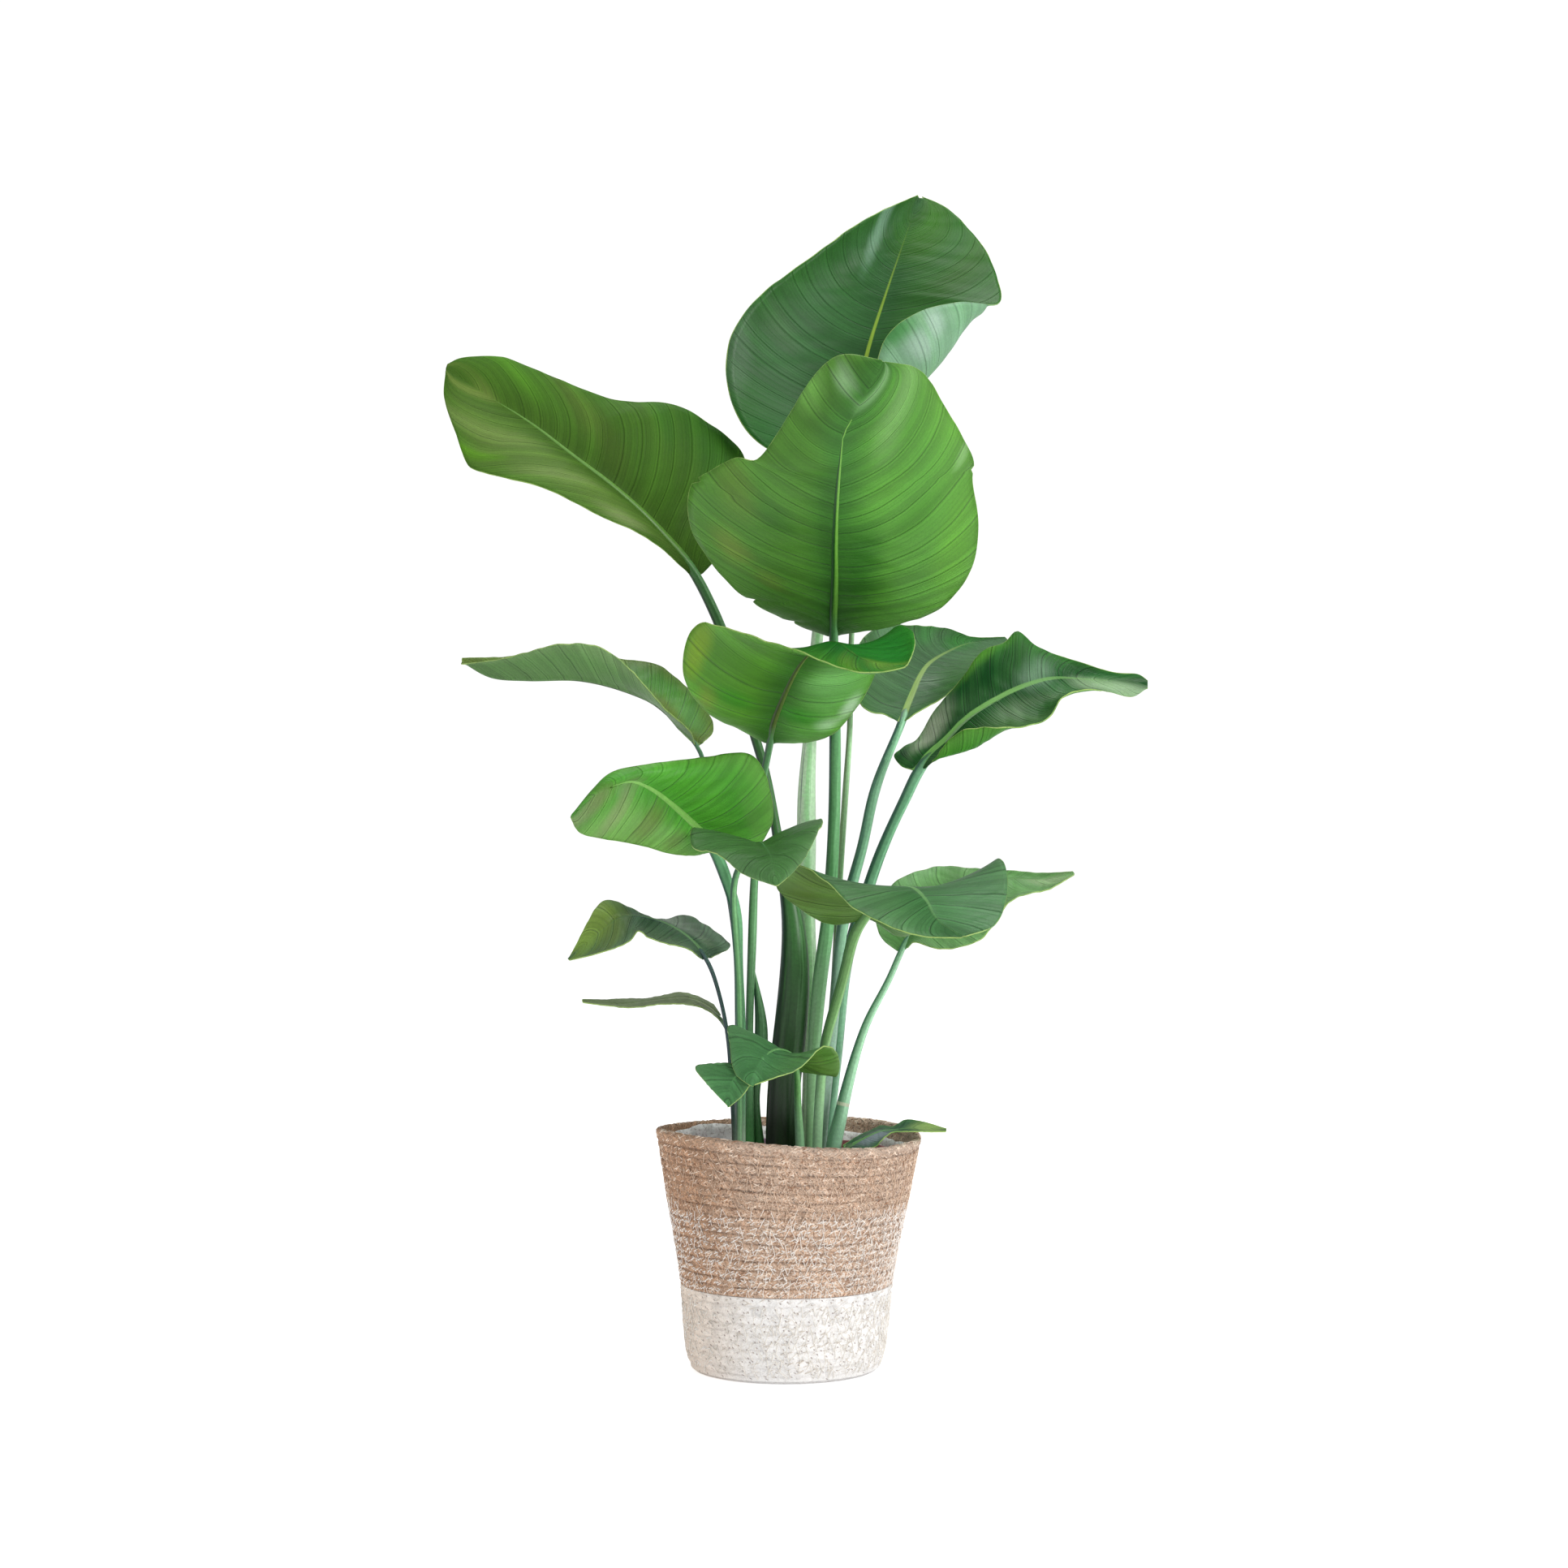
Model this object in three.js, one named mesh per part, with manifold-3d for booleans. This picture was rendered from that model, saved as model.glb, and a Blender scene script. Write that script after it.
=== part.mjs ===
// A young giant white bird of paradise in its nursery pot, standing in a two-colour rope basket.
// Millimetres. +Z is up, +X is to the viewer's right and -Y is toward the viewer.
// The origin is the middle of the basket's flat underside.
import * as THREE from 'three';
import { mergeVertices } from 'three/addons/utils/BufferGeometryUtils.js';
import Module from 'manifold-3d';

const wasm = await Module();
wasm.setup();

// Basket
const rimHeight = 155.2;
const rimRadius = 88;
const ropePitch = rimHeight / 27;
const whiteRows = 10;
const naturalRows = 17;
const basketWall = 5;
const baseRadius = 57;
const footRadius = 61;
const insideFootHeight = 8;
const ropeBulge = 0.9;
const rimTilt = 2.2;
const rimTwist = 2;
const wallLean = 2.2;
const basketSides = 36;

// Film lining, nursery pot and soil
const filmThickness = 0.7;
const filmClearance = 1.9;
const filmFloorRadius = 54;
const crinkleStart = 50;
const filmTop = 148;
const filmCrinkle = 0.9;
const potTopHeight = 144.5;
const potTopRadius = 68;
const potBaseRadius = 50;
const potWall = 1.6;
const potLip = 6;
const potLipOut = 2;
const potSides = 32;
const soilTop = 133;
const soilSides = 28;
const stemBottom = 104;
const stemStraightTop = soilTop + 4;
const stemBendHeight = soilTop + 8;
const restGap = 0.3;
const holeClearance = 0.6;
const holeSides = 8;

// Leaves
const bladeHalfThickness = 0.4;
const keelDepth = 2.2;
const keelTaper = 0.85;
const rippleHeight = 1.4;
const ripples = 3.5;

// The viewer's eye, from which the leaf outlines are given
const eyeDistance = 2000;
const eyeHeight = 388;
const eyeX = -3;

// A point given as the viewer sees it (x, z in the plane of the origin) is carried to its own
// depth along the line of sight. A negative depth is nearer the viewer.
function seen([x, z, depth]) {
  const reach = (eyeDistance + depth) / eyeDistance;
  return new THREE.Vector3(eyeX + (x - eyeX) * reach, depth, eyeHeight + (z - eyeHeight) * reach);
}

function curveThrough(points) {
  return new THREE.CatmullRomCurve3(points, false, 'centripetal');
}

// Stations along a blade lie closer together near its base and tip, where its outline turns.
function station(i, steps) {
  return 0.5 * i / steps + 0.5 * (0.5 - 0.5 * Math.cos(Math.PI * i / steps));
}

function spaced(points, steps) {
  const curve = curveThrough(points.map(seen));
  return Array.from({ length: steps + 1 }, (_, i) => curve.getPointAt(station(i, steps)));
}

// Solids and booleans
function toSolid(positions, triangles) {
  return new wasm.Manifold(new wasm.Mesh({
    numProp: 3,
    vertProperties: new Float32Array(positions),
    triVerts: new Uint32Array(triangles),
  }));
}

function solidOf(geometry) {
  const bare = geometry.clone();
  bare.deleteAttribute('normal');
  bare.deleteAttribute('uv');
  const merged = mergeVertices(bare, 1e-4);
  const index = merged.getIndex().array;
  const triangles = [];
  for (let i = 0; i < index.length; i += 3) {
    const [a, b, c] = [index[i], index[i + 1], index[i + 2]];
    if (a !== b && b !== c && c !== a) triangles.push(a, b, c);
  }
  return toSolid(merged.getAttribute('position').array, triangles);
}

function geometryOf(solid) {
  const mesh = solid.getMesh();
  const geometry = new THREE.BufferGeometry();
  geometry.setAttribute('position', new THREE.BufferAttribute(mesh.vertProperties, 3));
  geometry.setIndex(new THREE.BufferAttribute(mesh.triVerts, 1));
  geometry.computeVertexNormals();
  return geometry;
}

// A closed lathe about +Z. The profile is [radius, height] going up the outside and down the inside.
function turned(profile, sides) {
  const points = profile.map(([radius, height]) => new THREE.Vector2(radius, height));
  const geometry = new THREE.LatheGeometry(points, sides);
  geometry.rotateX(Math.PI / 2);
  return geometry;
}

function moveVertices(geometry, move) {
  const position = geometry.getAttribute('position');
  const point = new THREE.Vector3();
  for (let i = 0; i < position.count; i += 1) {
    point.fromBufferAttribute(position, i);
    move(point);
    position.setXYZ(i, point.x, point.y, point.z);
  }
  return geometry;
}

// Round stalk, tapering from ring to ring along a smooth path, closed at both ends.
function stalk(path, radii, sides, rings, flatten = 1) {
  const curve = curveThrough(path);
  const radiusCurve = new THREE.CatmullRomCurve3(
    radii.map((radius, i) => new THREE.Vector3(radius, i, 0)), false, 'centripetal');
  const frames = curve.computeFrenetFrames(rings, false);
  const positions = [];
  const triangles = [];
  for (let ring = 0; ring <= rings; ring += 1) {
    const along = curve.getUtoTmapping(ring / rings);
    const centre = curve.getPoint(along);
    const radius = radiusCurve.getPoint(along).x;
    for (let side = 0; side < sides; side += 1) {
      const angle = (side / sides) * 2 * Math.PI;
      const offset = frames.normals[ring].clone().multiplyScalar(Math.cos(angle) * radius);
      offset.addScaledVector(frames.binormals[ring], Math.sin(angle) * radius);
      offset.y *= flatten;
      positions.push(...centre.clone().add(offset).toArray());
    }
  }
  for (let ring = 0; ring < rings; ring += 1) {
    for (let side = 0; side < sides; side += 1) {
      const a = ring * sides + side;
      const b = ring * sides + ((side + 1) % sides);
      triangles.push(a, b, b + sides, a, b + sides, a + sides);
    }
  }
  const last = rings * sides;
  for (let side = 1; side < sides - 1; side += 1) {
    triangles.push(0, side + 1, side);
    triangles.push(last, last + side, last + side + 1);
  }
  return toSolid(positions, triangles);
}

// One row of points across half a blade, from the rib to the margin. A fold line half way
// bends the half round; otherwise it bellies away from the viewer by the belly height.
function acrossHalf(rib, fold, margin, cells, bulge) {
  const row = [];
  for (let cell = 1; cell <= cells; cell += 1) {
    const v = cell / cells;
    const point = new THREE.Vector3();
    if (fold) {
      point.addScaledVector(rib, (1 - v) * (1 - 2 * v));
      point.addScaledVector(fold, 4 * v * (1 - v));
      point.addScaledVector(margin, v * (2 * v - 1));
    } else {
      point.lerpVectors(rib, margin, v);
      point.addScaledVector(bulge, 4 * v * (1 - v));
    }
    row.push(point);
  }
  return row;
}

// A blade skinned over its rib and margins, with a keel under the rib. underside is 1 where
// the underside faces away from the viewer and -1 where it faces the viewer.
function blade({ rib, left, right, leftFold, rightFold, belly = [0, 0], underside = 1, cells }) {
  const [along, across] = cells;
  const rails = {
    rib: spaced(rib, along),
    left: spaced(left, along),
    right: spaced(right, along),
    leftFold: leftFold && spaced(leftFold, along),
    rightFold: rightFold && spaced(rightFold, along),
  };
  const columns = 2 * across + 1;
  const grid = [];
  for (let i = 0; i <= along; i += 1) {
    const before = rails.rib[Math.max(i - 1, 0)];
    const after = rails.rib[Math.min(i + 1, along)];
    const tangent = after.clone().sub(before).normalize();
    const span = rails.right[i].clone().sub(rails.left[i]);
    const away = tangent.clone().cross(span).normalize();
    const ripple = rippleHeight * Math.sin(Math.PI * i / along);
    const halves = [
      [rails.left[i], rails.leftFold && rails.leftFold[i], belly[0], 0],
      [rails.right[i], rails.rightFold && rails.rightFold[i], belly[1], 2],
    ].map(([margin, fold, depth, phase]) => {
      const swell = Math.sin(Math.PI * (i + 0.5) / (along + 1));
      const bulge = away.clone().multiplyScalar(depth * swell);
      const row = acrossHalf(rails.rib[i], fold, margin, across, bulge);
      const turn = Math.sin(2 * Math.PI * ripples * i / along + phase);
      row.forEach((point, k) => point.addScaledVector(away, ripple * turn * ((k + 1) / across) ** 2));
      return row;
    });
    grid.push([...halves[0].reverse(), rails.rib[i], ...halves[1]]);
  }
  const positions = [];
  const triangles = [];
  const faceNormal = (i, j) => {
    const up = grid[Math.min(i + 1, along)][j].clone().sub(grid[Math.max(i - 1, 0)][j]);
    const over = grid[i][Math.min(j + 1, columns - 1)].clone().sub(grid[i][Math.max(j - 1, 0)]);
    return up.cross(over).normalize();
  };
  for (const face of [1, -1]) {
    for (let i = 0; i <= along; i += 1) {
      for (let j = 0; j < columns; j += 1) {
        const keel = j === across && face === underside ? keelDepth * (1 - keelTaper * i / along) : 0;
        const offset = faceNormal(i, j).multiplyScalar(face * (bladeHalfThickness + keel));
        positions.push(...grid[i][j].clone().add(offset).toArray());
      }
    }
  }
  const under = (along + 1) * columns;
  for (let i = 0; i < along; i += 1) {
    for (let j = 0; j < columns - 1; j += 1) {
      const a = i * columns + j;
      const [b, c, d] = [a + 1, a + columns + 1, a + columns];
      triangles.push(a, c, b, a, d, c);
      triangles.push(under + a, under + b, under + c, under + a, under + c, under + d);
    }
  }
  const edge = [];
  for (let j = 0; j < columns; j += 1) edge.push(j);
  for (let i = 1; i <= along; i += 1) edge.push(i * columns + columns - 1);
  for (let j = columns - 2; j >= 0; j -= 1) edge.push(along * columns + j);
  for (let i = along - 1; i >= 1; i -= 1) edge.push(i * columns);
  edge.forEach((a, k) => {
    const b = edge[(k + 1) % edge.length];
    triangles.push(a, b, under + b, a, under + b, under + a);
  });
  return toSolid(positions, triangles);
}

// A leaf grown as one piece: its stalk from the soil, then the midrib and the blade or blades.
function leaf({ path, blades = [], sides = 7, rings = 12, bract }) {
  const above = path.map(seen);
  const foot = above[0];
  const straight = [stemBottom, (stemBottom + stemStraightTop) / 2, stemStraightTop]
    .map((z) => new THREE.Vector3(foot.x, foot.y, z));
  const keep = above.filter((point) => point.z > stemBendHeight);
  const radii = path.filter((point, i) => above[i].z > stemBendHeight).map((point) => point[3] / 2);
  const points = [...straight, ...keep];
  const widths = [radii[0], radii[0], radii[0], ...radii];
  if (blades.length) {
    const rib = spaced(blades[0].rib, 8);
    points.push(rib[1], rib[2], rib[3]);
    widths.push(widths.at(-1) * 0.8, widths.at(-1) * 0.55, 0.7);
  }
  let whole = stalk(points, widths, sides, rings);
  for (const shape of blades) whole = whole.add(blade(shape));
  if (bract) whole = whole.add(stalk(bract.map(seen), bract.map((point) => point[3] / 2), 6, 8, 0.6));
  return { whole, foot, footRadius: radii[0] };
}

// Leaf outlines: [x, z, depth] along each line as the viewer sees it, and the stalk's width last.
// A rib runs from the stalk to the tip, and left and right are as seen looking along the rib.
const leafShapes = {
  leaf_top_back: {
    path: [
      [12, 147, 8, 8], [14, 213, 12, 8.6], [14, 267, 13, 9.7], [12, 305, 14, 11.3], [12, 353, 17, 13],
      [12, 384, 20, 12], [14, 415, 23, 9.2], [19, 485, 30, 8], [27, 542, 37, 6.5], [37, 585, 43, 5.4],
      [41, 603, 45, 4.9],
    ],
    blades: [{
      rib: [[41, 603, 45], [42, 620, 48], [45, 639, 52], [52, 674, 62], [66, 718, 80], [87, 778, 115]],
      left: [[36, 600, 45], [2, 604, 30], [-25, 620, 22], [-40, 650, 20], [-39, 683, 28],
        [-20, 711, 42], [15, 739, 62], [56, 766, 88], [86, 780, 117]],
      rightFold: [[46, 604, 45], [61, 618, 40], [76, 637, 35], [90, 656, 30], [104, 672, 28],
        [117, 694, 34], [122, 701, 42], [113, 712, 56], [108, 718, 64], [104, 750, 92], [90, 778, 116]],
      right: [[47, 603, 44], [53, 629, 15], [57, 653, 8], [59, 671, 5], [66, 687, 5], [86, 701, 10],
        [112, 708, 22], [140, 709, 42], [139, 724, 64], [127, 749, 88], [106, 771, 108], [89, 779, 118]],
      belly: [8, 0], cells: [13, 4],
    }],
  },
  leaf_centre_front: {
    path: [
      [15, 147, -10, 7.6], [17, 213, -12, 8.6], [22, 267, -12, 9.7], [26, 294, -12, 9.2],
      [30, 353, -14, 8.1], [31, 421, -19, 7.6], [30, 487, -25, 5.9],
    ],
    blades: [{
      rib: [[30, 487, -25], [30, 502, -38], [31, 523, -56], [31, 550, -78], [32, 575, -98],
        [34, 601, -115], [37, 623, -128], [46, 638, -138], [63, 669, -150]],
      left: [[26, 487, -25], [2, 496, -30], [-36, 519, -35], [-64, 556, -40], [-64, 588, -58],
        [-50, 598, -68], [-36, 605, -80], [-20, 604, -96], [-6, 622, -106], [16, 658, -122], [34, 673, -135],
        [62, 670, -150]],
      right: [[35, 488, -25], [70, 494, -35], [101, 505, -45], [121, 531, -50], [126, 560, -58],
        [122, 590, -70], [123, 602, -76], [116, 618, -90], [104, 639, -108], [86, 664, -136],
        [64, 669, -150]],
      belly: [-9, -9], underside: -1, cells: [13, 4],
    }],
  },
  leaf_upper_left: {
    path: [
      [-5, 147, -6, 21], [-3, 188, -6, 22], [1, 224, -5, 22], [4, 262, -4, 20],
      [3, 296, 0, 15], [-2, 324, 4, 10], [-7, 350, 8, 7], [-11, 375, 10, 6], [-17, 402, 12, 6.5],
      [-22, 418, 14, 6.5], [-36, 467, 18, 7], [-47, 497, 21, 7.2], [-54, 512, 23, 7], [-61, 526, 25, 7],
    ],
    rings: 17,
    blades: [{
      rib: [[-61, 526, 25], [-68, 535, 24], [-94, 564, 18], [-117, 585, 13], [-143, 605, 9],
        [-174, 629, 6], [-201, 646, 4], [-228, 664, 4]],
      left: [[-65, 527, 24], [-72, 533, 15], [-83, 543, 5], [-101, 555, -10], [-128, 568, -22],
        [-158, 582, -28], [-190, 592, -30], [-210, 598, -25], [-214, 602, -22], [-222, 622, -14],
        [-229, 646, -2], [-228, 662, 3]],
      right: [[-57, 528, 26], [-42, 546, 36], [-28, 580, 45], [-30, 606, 45], [-52, 626, 42],
        [-76, 640, 37], [-118, 644, 29], [-152, 656, 20], [-184, 670, 13], [-191, 672, 12], [-218, 671, 8],
        [-227, 667, 5]],
      belly: [-5, -5], underside: -1, cells: [13, 4],
    }],
  },
  leaf_middle_front: {
    path: [
      [-26, 147, 2, 8.4], [-26, 180, 1, 6], [-26, 229, 0, 5.2], [-25, 261, -1, 5.6], [-24, 288, -3, 6],
      [-23, 321, -5, 5.4], [-20, 359, -8, 4.6], [-17, 391, -11, 4.4], [-12, 416, -20, 4.9],
    ],
    bract: [
      [-19, 141, 3, 8.6], [-22, 183, 3, 5], [-18, 213, 2, 9.7], [-18, 229, 1, 8.4], [-23, 264, 0, 1.2],
    ],
    blades: [{
      rib: [[-12, 416, -20], [-10, 429, -32], [-5, 442, -45], [1, 456, -60], [9, 470, -75],
        [21, 482, -92], [33, 483, -108], [44, 475, -122], [58, 469, -131], [78, 467, -136]],
      left: [[-16, 416, -20], [-31, 424, -25], [-53, 436, -32], [-69, 458, -45], [-68, 482, -62],
        [-60, 495, -76], [-47, 495, -90], [-13, 482, -112], [9, 476, -124], [22, 471, -131], [35, 466, -136],
        [47, 463, -139], [63, 463, -140], [77, 466, -137]],
      right: [[-8, 416, -20], [7, 416, -25], [29, 421, -35], [46, 441, -45], [57, 461, -55],
        [64, 480, -62], [72, 493, -70], [82, 491, -84], [84, 482, -104], [82, 474, -122], [79, 468, -135]],
      belly: [-7, -7], underside: -1, cells: [12, 4],
    }],
  },
  leaf_middle_right: {
    path: [
      [22, 147, 4, 6.5], [31, 244, 2, 7.6], [35, 288, 0, 7.6], [42, 321, -2, 7.6], [49, 345, -3, 7],
      [57, 383, -4, 7], [66, 407, -5, 5.9], [76, 430, -5, 5.4],
    ],
    blades: [{
      rib: [[75, 430, -5], [79, 441, 8], [83, 450, 22], [88, 461, 38], [94, 469, 54], [107, 477, 78],
        [120, 482, 98], [145, 485, 122]],
      left: [[72, 430, -5], [63, 435, -11], [53, 437, -13], [47, 443, -12], [45, 461, -2], [47, 481, 24],
        [60, 492, 46], [84, 494, 66], [104, 492, 86], [122, 486, 104], [144, 486, 122]],
      right: [[79, 431, -4], [84, 435, -2], [91, 439, 2], [104, 447, 14], [117, 459, 28],
        [128, 468, 50], [140, 474, 84], [146, 484, 121]],
      belly: [3, 3], cells: [12, 4],
    }],
  },
  leaf_right: {
    path: [
      [26, 148, 12, 7], [32, 207, 12, 7.6], [39, 272, 8, 8.1], [53, 319, 0, 8.1], [61, 342, -6, 7.6],
      [72, 367, -14, 7], [80, 383, -22, 7.6], [87, 399, -30, 7.6],
    ],
    blades: [{
      rib: [[85, 397, -30], [95, 410, -32], [104, 419, -34], [117, 432, -34], [130, 441, -33],
        [157, 454, -28], [177, 459, -22], [201, 458, -12], [239, 455, 0]],
      left: [[82, 398, -29], [75, 400, -24], [70, 407, -19], [76, 412, -14], [86, 418, -11],
        [94, 432, -9], [100, 442, -9], [109, 452, -9], [118, 462, -10], [124, 471, -11],
        [133, 478, -12], [143, 481, -12], [152, 490, -10], [166, 480, -8], [200, 467, -8], [218, 462, -5],
        [233, 461, -1], [239, 457, 1]],
      rightFold: [[89, 398, -32], [98, 405, -44], [109, 408, -50], [124, 413, -55], [136, 421, -54],
        [147, 430, -46], [163, 436, -42], [178, 447, -34], [204, 452, -18], [239, 453, -1]],
      right: [[91, 398, -33], [99, 406, -48], [105, 416, -58], [115, 424, -64], [126, 426, -66],
        [142, 425, -66], [156, 426, -62], [172, 432, -58], [182, 446, -45], [200, 451, -26], [214, 449, -14],
        [229, 446, -6], [239, 452, -2]],
      belly: [2, 0], cells: [14, 4],
    }],
  },
  leaf_left: {
    path: [
      [-34, 147, 10, 3.2], [-34, 230, 10, 3.4], [-35, 276, 11, 3.4], [-39, 310, 12, 3.4],
      [-45, 337, 13, 3.2], [-50, 369, 14, 3.2], [-57, 406, 15, 3.2], [-59, 414, 15, 3.2],
    ],
    sides: 6,
    blades: [{
      rib: [[-59, 414, 15], [-69, 423, 14], [-85, 440, 12], [-109, 451, 8], [-139, 458, 4],
        [-174, 458, 0], [-198, 460, -3], [-217, 470, -5]],
      left: [[-62, 414, 13], [-65, 423, 5], [-82, 438, -5], [-102, 462, -15], [-123, 477, -20],
        [-152, 482, -22], [-187, 472, -15], [-218, 468, -6]],
      right: [[-57, 416, 17], [-50, 424, 30], [-59, 445, 40], [-85, 465, 45], [-110, 471, 42],
        [-147, 477, 35], [-190, 473, 15], [-217, 472, -4]],
      belly: [2, 3], cells: [12, 3],
    }],
  },
  leaf_lower_left_front: {
    path: [
      [-31, 147, -14, 4.9], [-31, 231, -14, 5], [-33, 267, -15, 5.4], [-35, 305, -17, 7.6],
      [-40, 320, -20, 7], [-45, 335, -28, 8.6], [-50, 345, -35, 6.5],
    ],
    sides: 7,
    blades: [{
      rib: [[-50, 345, -35], [-56, 353, -45], [-66, 363, -58], [-78, 374, -70], [-91, 384, -82],
        [-106, 390, -92], [-125, 383, -100], [-144, 367, -102]],
      left: [[-53, 343, -36], [-63, 341, -50], [-79, 342, -60], [-96, 347, -72], [-112, 350, -85],
        [-125, 352, -95], [-139, 356, -100], [-145, 366, -102]],
      right: [[-46, 346, -33], [-25, 345, -25], [-12, 359, -20], [-11, 377, -25], [-25, 407, -40],
        [-56, 405, -62], [-98, 400, -85],
        [-118, 395, -92], [-130, 384, -98], [-143, 368, -102]],
      belly: [-5, -5], underside: -1, cells: [11, 4],
    }],
  },
  leaf_front_drooping: {
    path: [
      [-33, 147, -23, 4.3], [-33, 245, -25, 4.3], [-35, 283, -26, 4.3], [-37, 315, -31, 4.3],
      [-35, 332, -35, 4.3], [-30, 338, -38, 4.3], [-25, 342, -42, 4.3],
    ],
    sides: 6,
    blades: [{
      rib: [[-25, 342, -42], [-20, 347, -70], [-16, 345, -98], [-12, 339, -120], [-10, 329, -137],
        [-8, 320, -146]],
      left: [[-28, 341, -42], [-47, 348, -52], [-63, 357, -70], [-64, 347, -92], [-47, 340, -112],
        [-28, 327, -132], [-9, 320, -146]],
      right: [[-23, 342, -42], [2, 352, -54], [19, 365, -68], [23, 362, -84], [16, 348, -106],
        [5, 331, -128], [-7, 320, -146]],
      belly: [2, 2], cells: [10, 3],
    }],
  },
  leaf_lower_right_front: {
    path: [
      [19, 147, -26, 6.5], [22, 197, -28, 6.5], [24, 215, -29, 6.5], [31, 240, -32, 7],
      [38, 265, -36, 7], [44, 290, -42, 7.6], [50, 299, -46, 7],
    ],
    blades: [{
      rib: [[50, 299, -46], [58, 309, -55], [70, 318, -68], [82, 320, -82], [92, 311, -98],
        [99, 299, -108], [116, 287, -114]],
      left: [[45, 297, -46], [28, 295, -46], [5, 308, -50], [-8, 320, -58], [7, 334, -72],
        [25, 325, -88], [42, 306, -98], [67, 294, -108], [90, 287, -113], [115, 286, -115]],
      right: [[55, 299, -45], [77, 287, -34], [102, 302, -26], [139, 337, -48], [146, 321, -75],
        [138, 295, -98], [118, 287, -113]],
      belly: [-4, -4], underside: -1, cells: [13, 4],
    }],
  },
  leaf_lower_right_back: {
    path: [
      [29, 147, -10, 10.8], [33, 159, -10, 9.6], [36, 174, -9, 9.0], [36, 178, -9, 7.6], [39, 185, -8, 8.1],
      [42, 199, -6, 7], [47, 215, -3, 5.9], [52, 230, -1, 5.4], [59, 243, 1, 4.9], [69, 262, 3, 4.3],
      [75, 278, 5, 4.3],
    ],
    blades: [{
      rib: [[75, 278, 5], [81, 291, 8], [91, 310, 12], [112, 323, 15], [145, 326, 15],
        [172, 325, 12], [190, 329, 10]],
      left: [[72, 277, 6], [61, 287, 14], [59, 306, 25], [70, 323, 32], [96, 332, 34], [131, 332, 30],
        [166, 329, 20], [189, 330, 11]],
      right: [[78, 278, 4], [84, 283, -10], [100, 279, -20], [126, 283, -22], [147, 310, -15],
        [172, 318, -5], [190, 328, 9]],
      belly: [3, 3], cells: [10, 3],
    }],
  },
  leaf_low_left: {
    path: [
      [-36, 148, -4, 3], [-39, 204, -6, 2.7], [-40, 218, -7, 2.7], [-42, 230, -8, 2.7],
      [-44, 241, -8, 2.7], [-47, 251, -9, 2.7], [-49, 259, -9, 2.7], [-54, 272, -10, 3.2],
    ],
    sides: 6,
    blades: [{
      rib: [[-54, 272, -10], [-60, 281, -12], [-70, 290, -15], [-83, 297, -20], [-98, 301, -28],
        [-112, 300, -35], [-125, 290, -40], [-147, 272, -42]],
      left: [[-57, 271, -11], [-66, 278, -25], [-79, 282, -32], [-93, 286, -38], [-100, 290, -44],
        [-106, 284, -50], [-125, 276, -50], [-146, 271, -43]],
      right: [[-51, 273, -9], [-39, 280, 5], [-45, 288, 12], [-66, 300, 12], [-85, 298, 0],
        [-105, 306, -18], [-123, 310, -30], [-146, 273, -41]],
      belly: [2, 2], cells: [11, 3],
    }],
  },
  leaf_low_left_thin: {
    path: [[-34, 147, 19, 3.4], [-37, 207, 19, 3.8], [-39, 226, 20, 3.8], [-45, 233, 20, 3.2]],
    sides: 6,
    rings: 10,
    blades: [{
      rib: [[-45, 233, 20], [-52, 240, 18], [-66, 246, 14], [-87, 245, 8], [-112, 242, 4],
        [-137, 244, 0]],
      left: [[-45, 231, 18], [-53, 237, 4], [-66, 242, -6], [-87, 241, -12], [-112, 240, -10],
        [-137, 243, -1]],
      right: [[-45, 235, 22], [-52, 243, 34], [-66, 249, 36], [-87, 247, 30], [-112, 245, 18],
        [-137, 245, 1]],
      cells: [8, 3],
    }],
  },
  leaf_low_front: {
    path: [[8, 145, -22, 6.5], [6, 175, -27, 4.9], [6, 191, -38, 4.4], [6, 197, -44, 4.2]],
    sides: 7,
    rings: 9,
    blades: [{
      rib: [[6, 197, -44], [2, 206, -52], [-8, 210, -64], [-17, 205, -78], [-23, 195, -90],
        [-25, 187, -96]],
      left: [[4, 196, -44], [-17, 213, -48], [-39, 228, -58], [-39, 213, -76], [-35, 195, -88],
        [-26, 187, -97]],
      right: [[9, 196, -43], [25, 194, -40], [32, 193, -44], [33, 209, -54], [25, 213, -66],
        [6, 198, -82], [-12, 191, -91], [-24, 187, -95]],
      belly: [2, -3], cells: [11, 3],
    }, {
      rib: [[-17, 205, -78], [-25, 198, -84], [-36, 191, -88], [-40, 173, -92]],
      left: [[-19, 207, -76], [-36, 202, -76], [-62, 200, -78], [-54, 188, -86], [-41, 174, -92]],
      right: [[-16, 202, -80], [-24, 189, -94], [-31, 180, -95], [-39, 173, -93]],
      cells: [6, 3],
    }],
  },
  leaf_over_rim: {
    path: [[31, 132, -27, 5], [33, 145, -28, 4.9], [37, 146, -30, 4.5]],
    sides: 6,
    rings: 8,
    blades: [{
      rib: [[37, 146, -30], [49, 153, -28], [61, 158, -25], [71, 159, -22], [85, 160, -20],
        [105, 158, -18]],
      left: [[36, 148, -28], [52, 157, -16], [62, 161, -12], [69, 160, -14], [78, 165, -12],
        [91, 163, -14], [105, 159, -17]],
      right: [[39, 144, -33], [57, 147, -40], [64, 153, -36], [70, 157, -30], [86, 157, -28],
        [102, 157, -22], [105, 157, -19]],
      belly: [1, 1], cells: [9, 3],
    }],
  },
  rolled_spear: {
    path: [
      [22, 147, 22, 4.3], [28, 213, 22, 4.9], [34, 323, 16, 4.3], [38, 384, 13, 4.3], [41, 428, 10, 3.8],
      [41, 461, 8, 3.8], [42, 488, 6, 3.6], [44, 531, 4, 3], [46, 552, 2, 1.2],
    ],
    sides: 7,
  },
};

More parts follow.
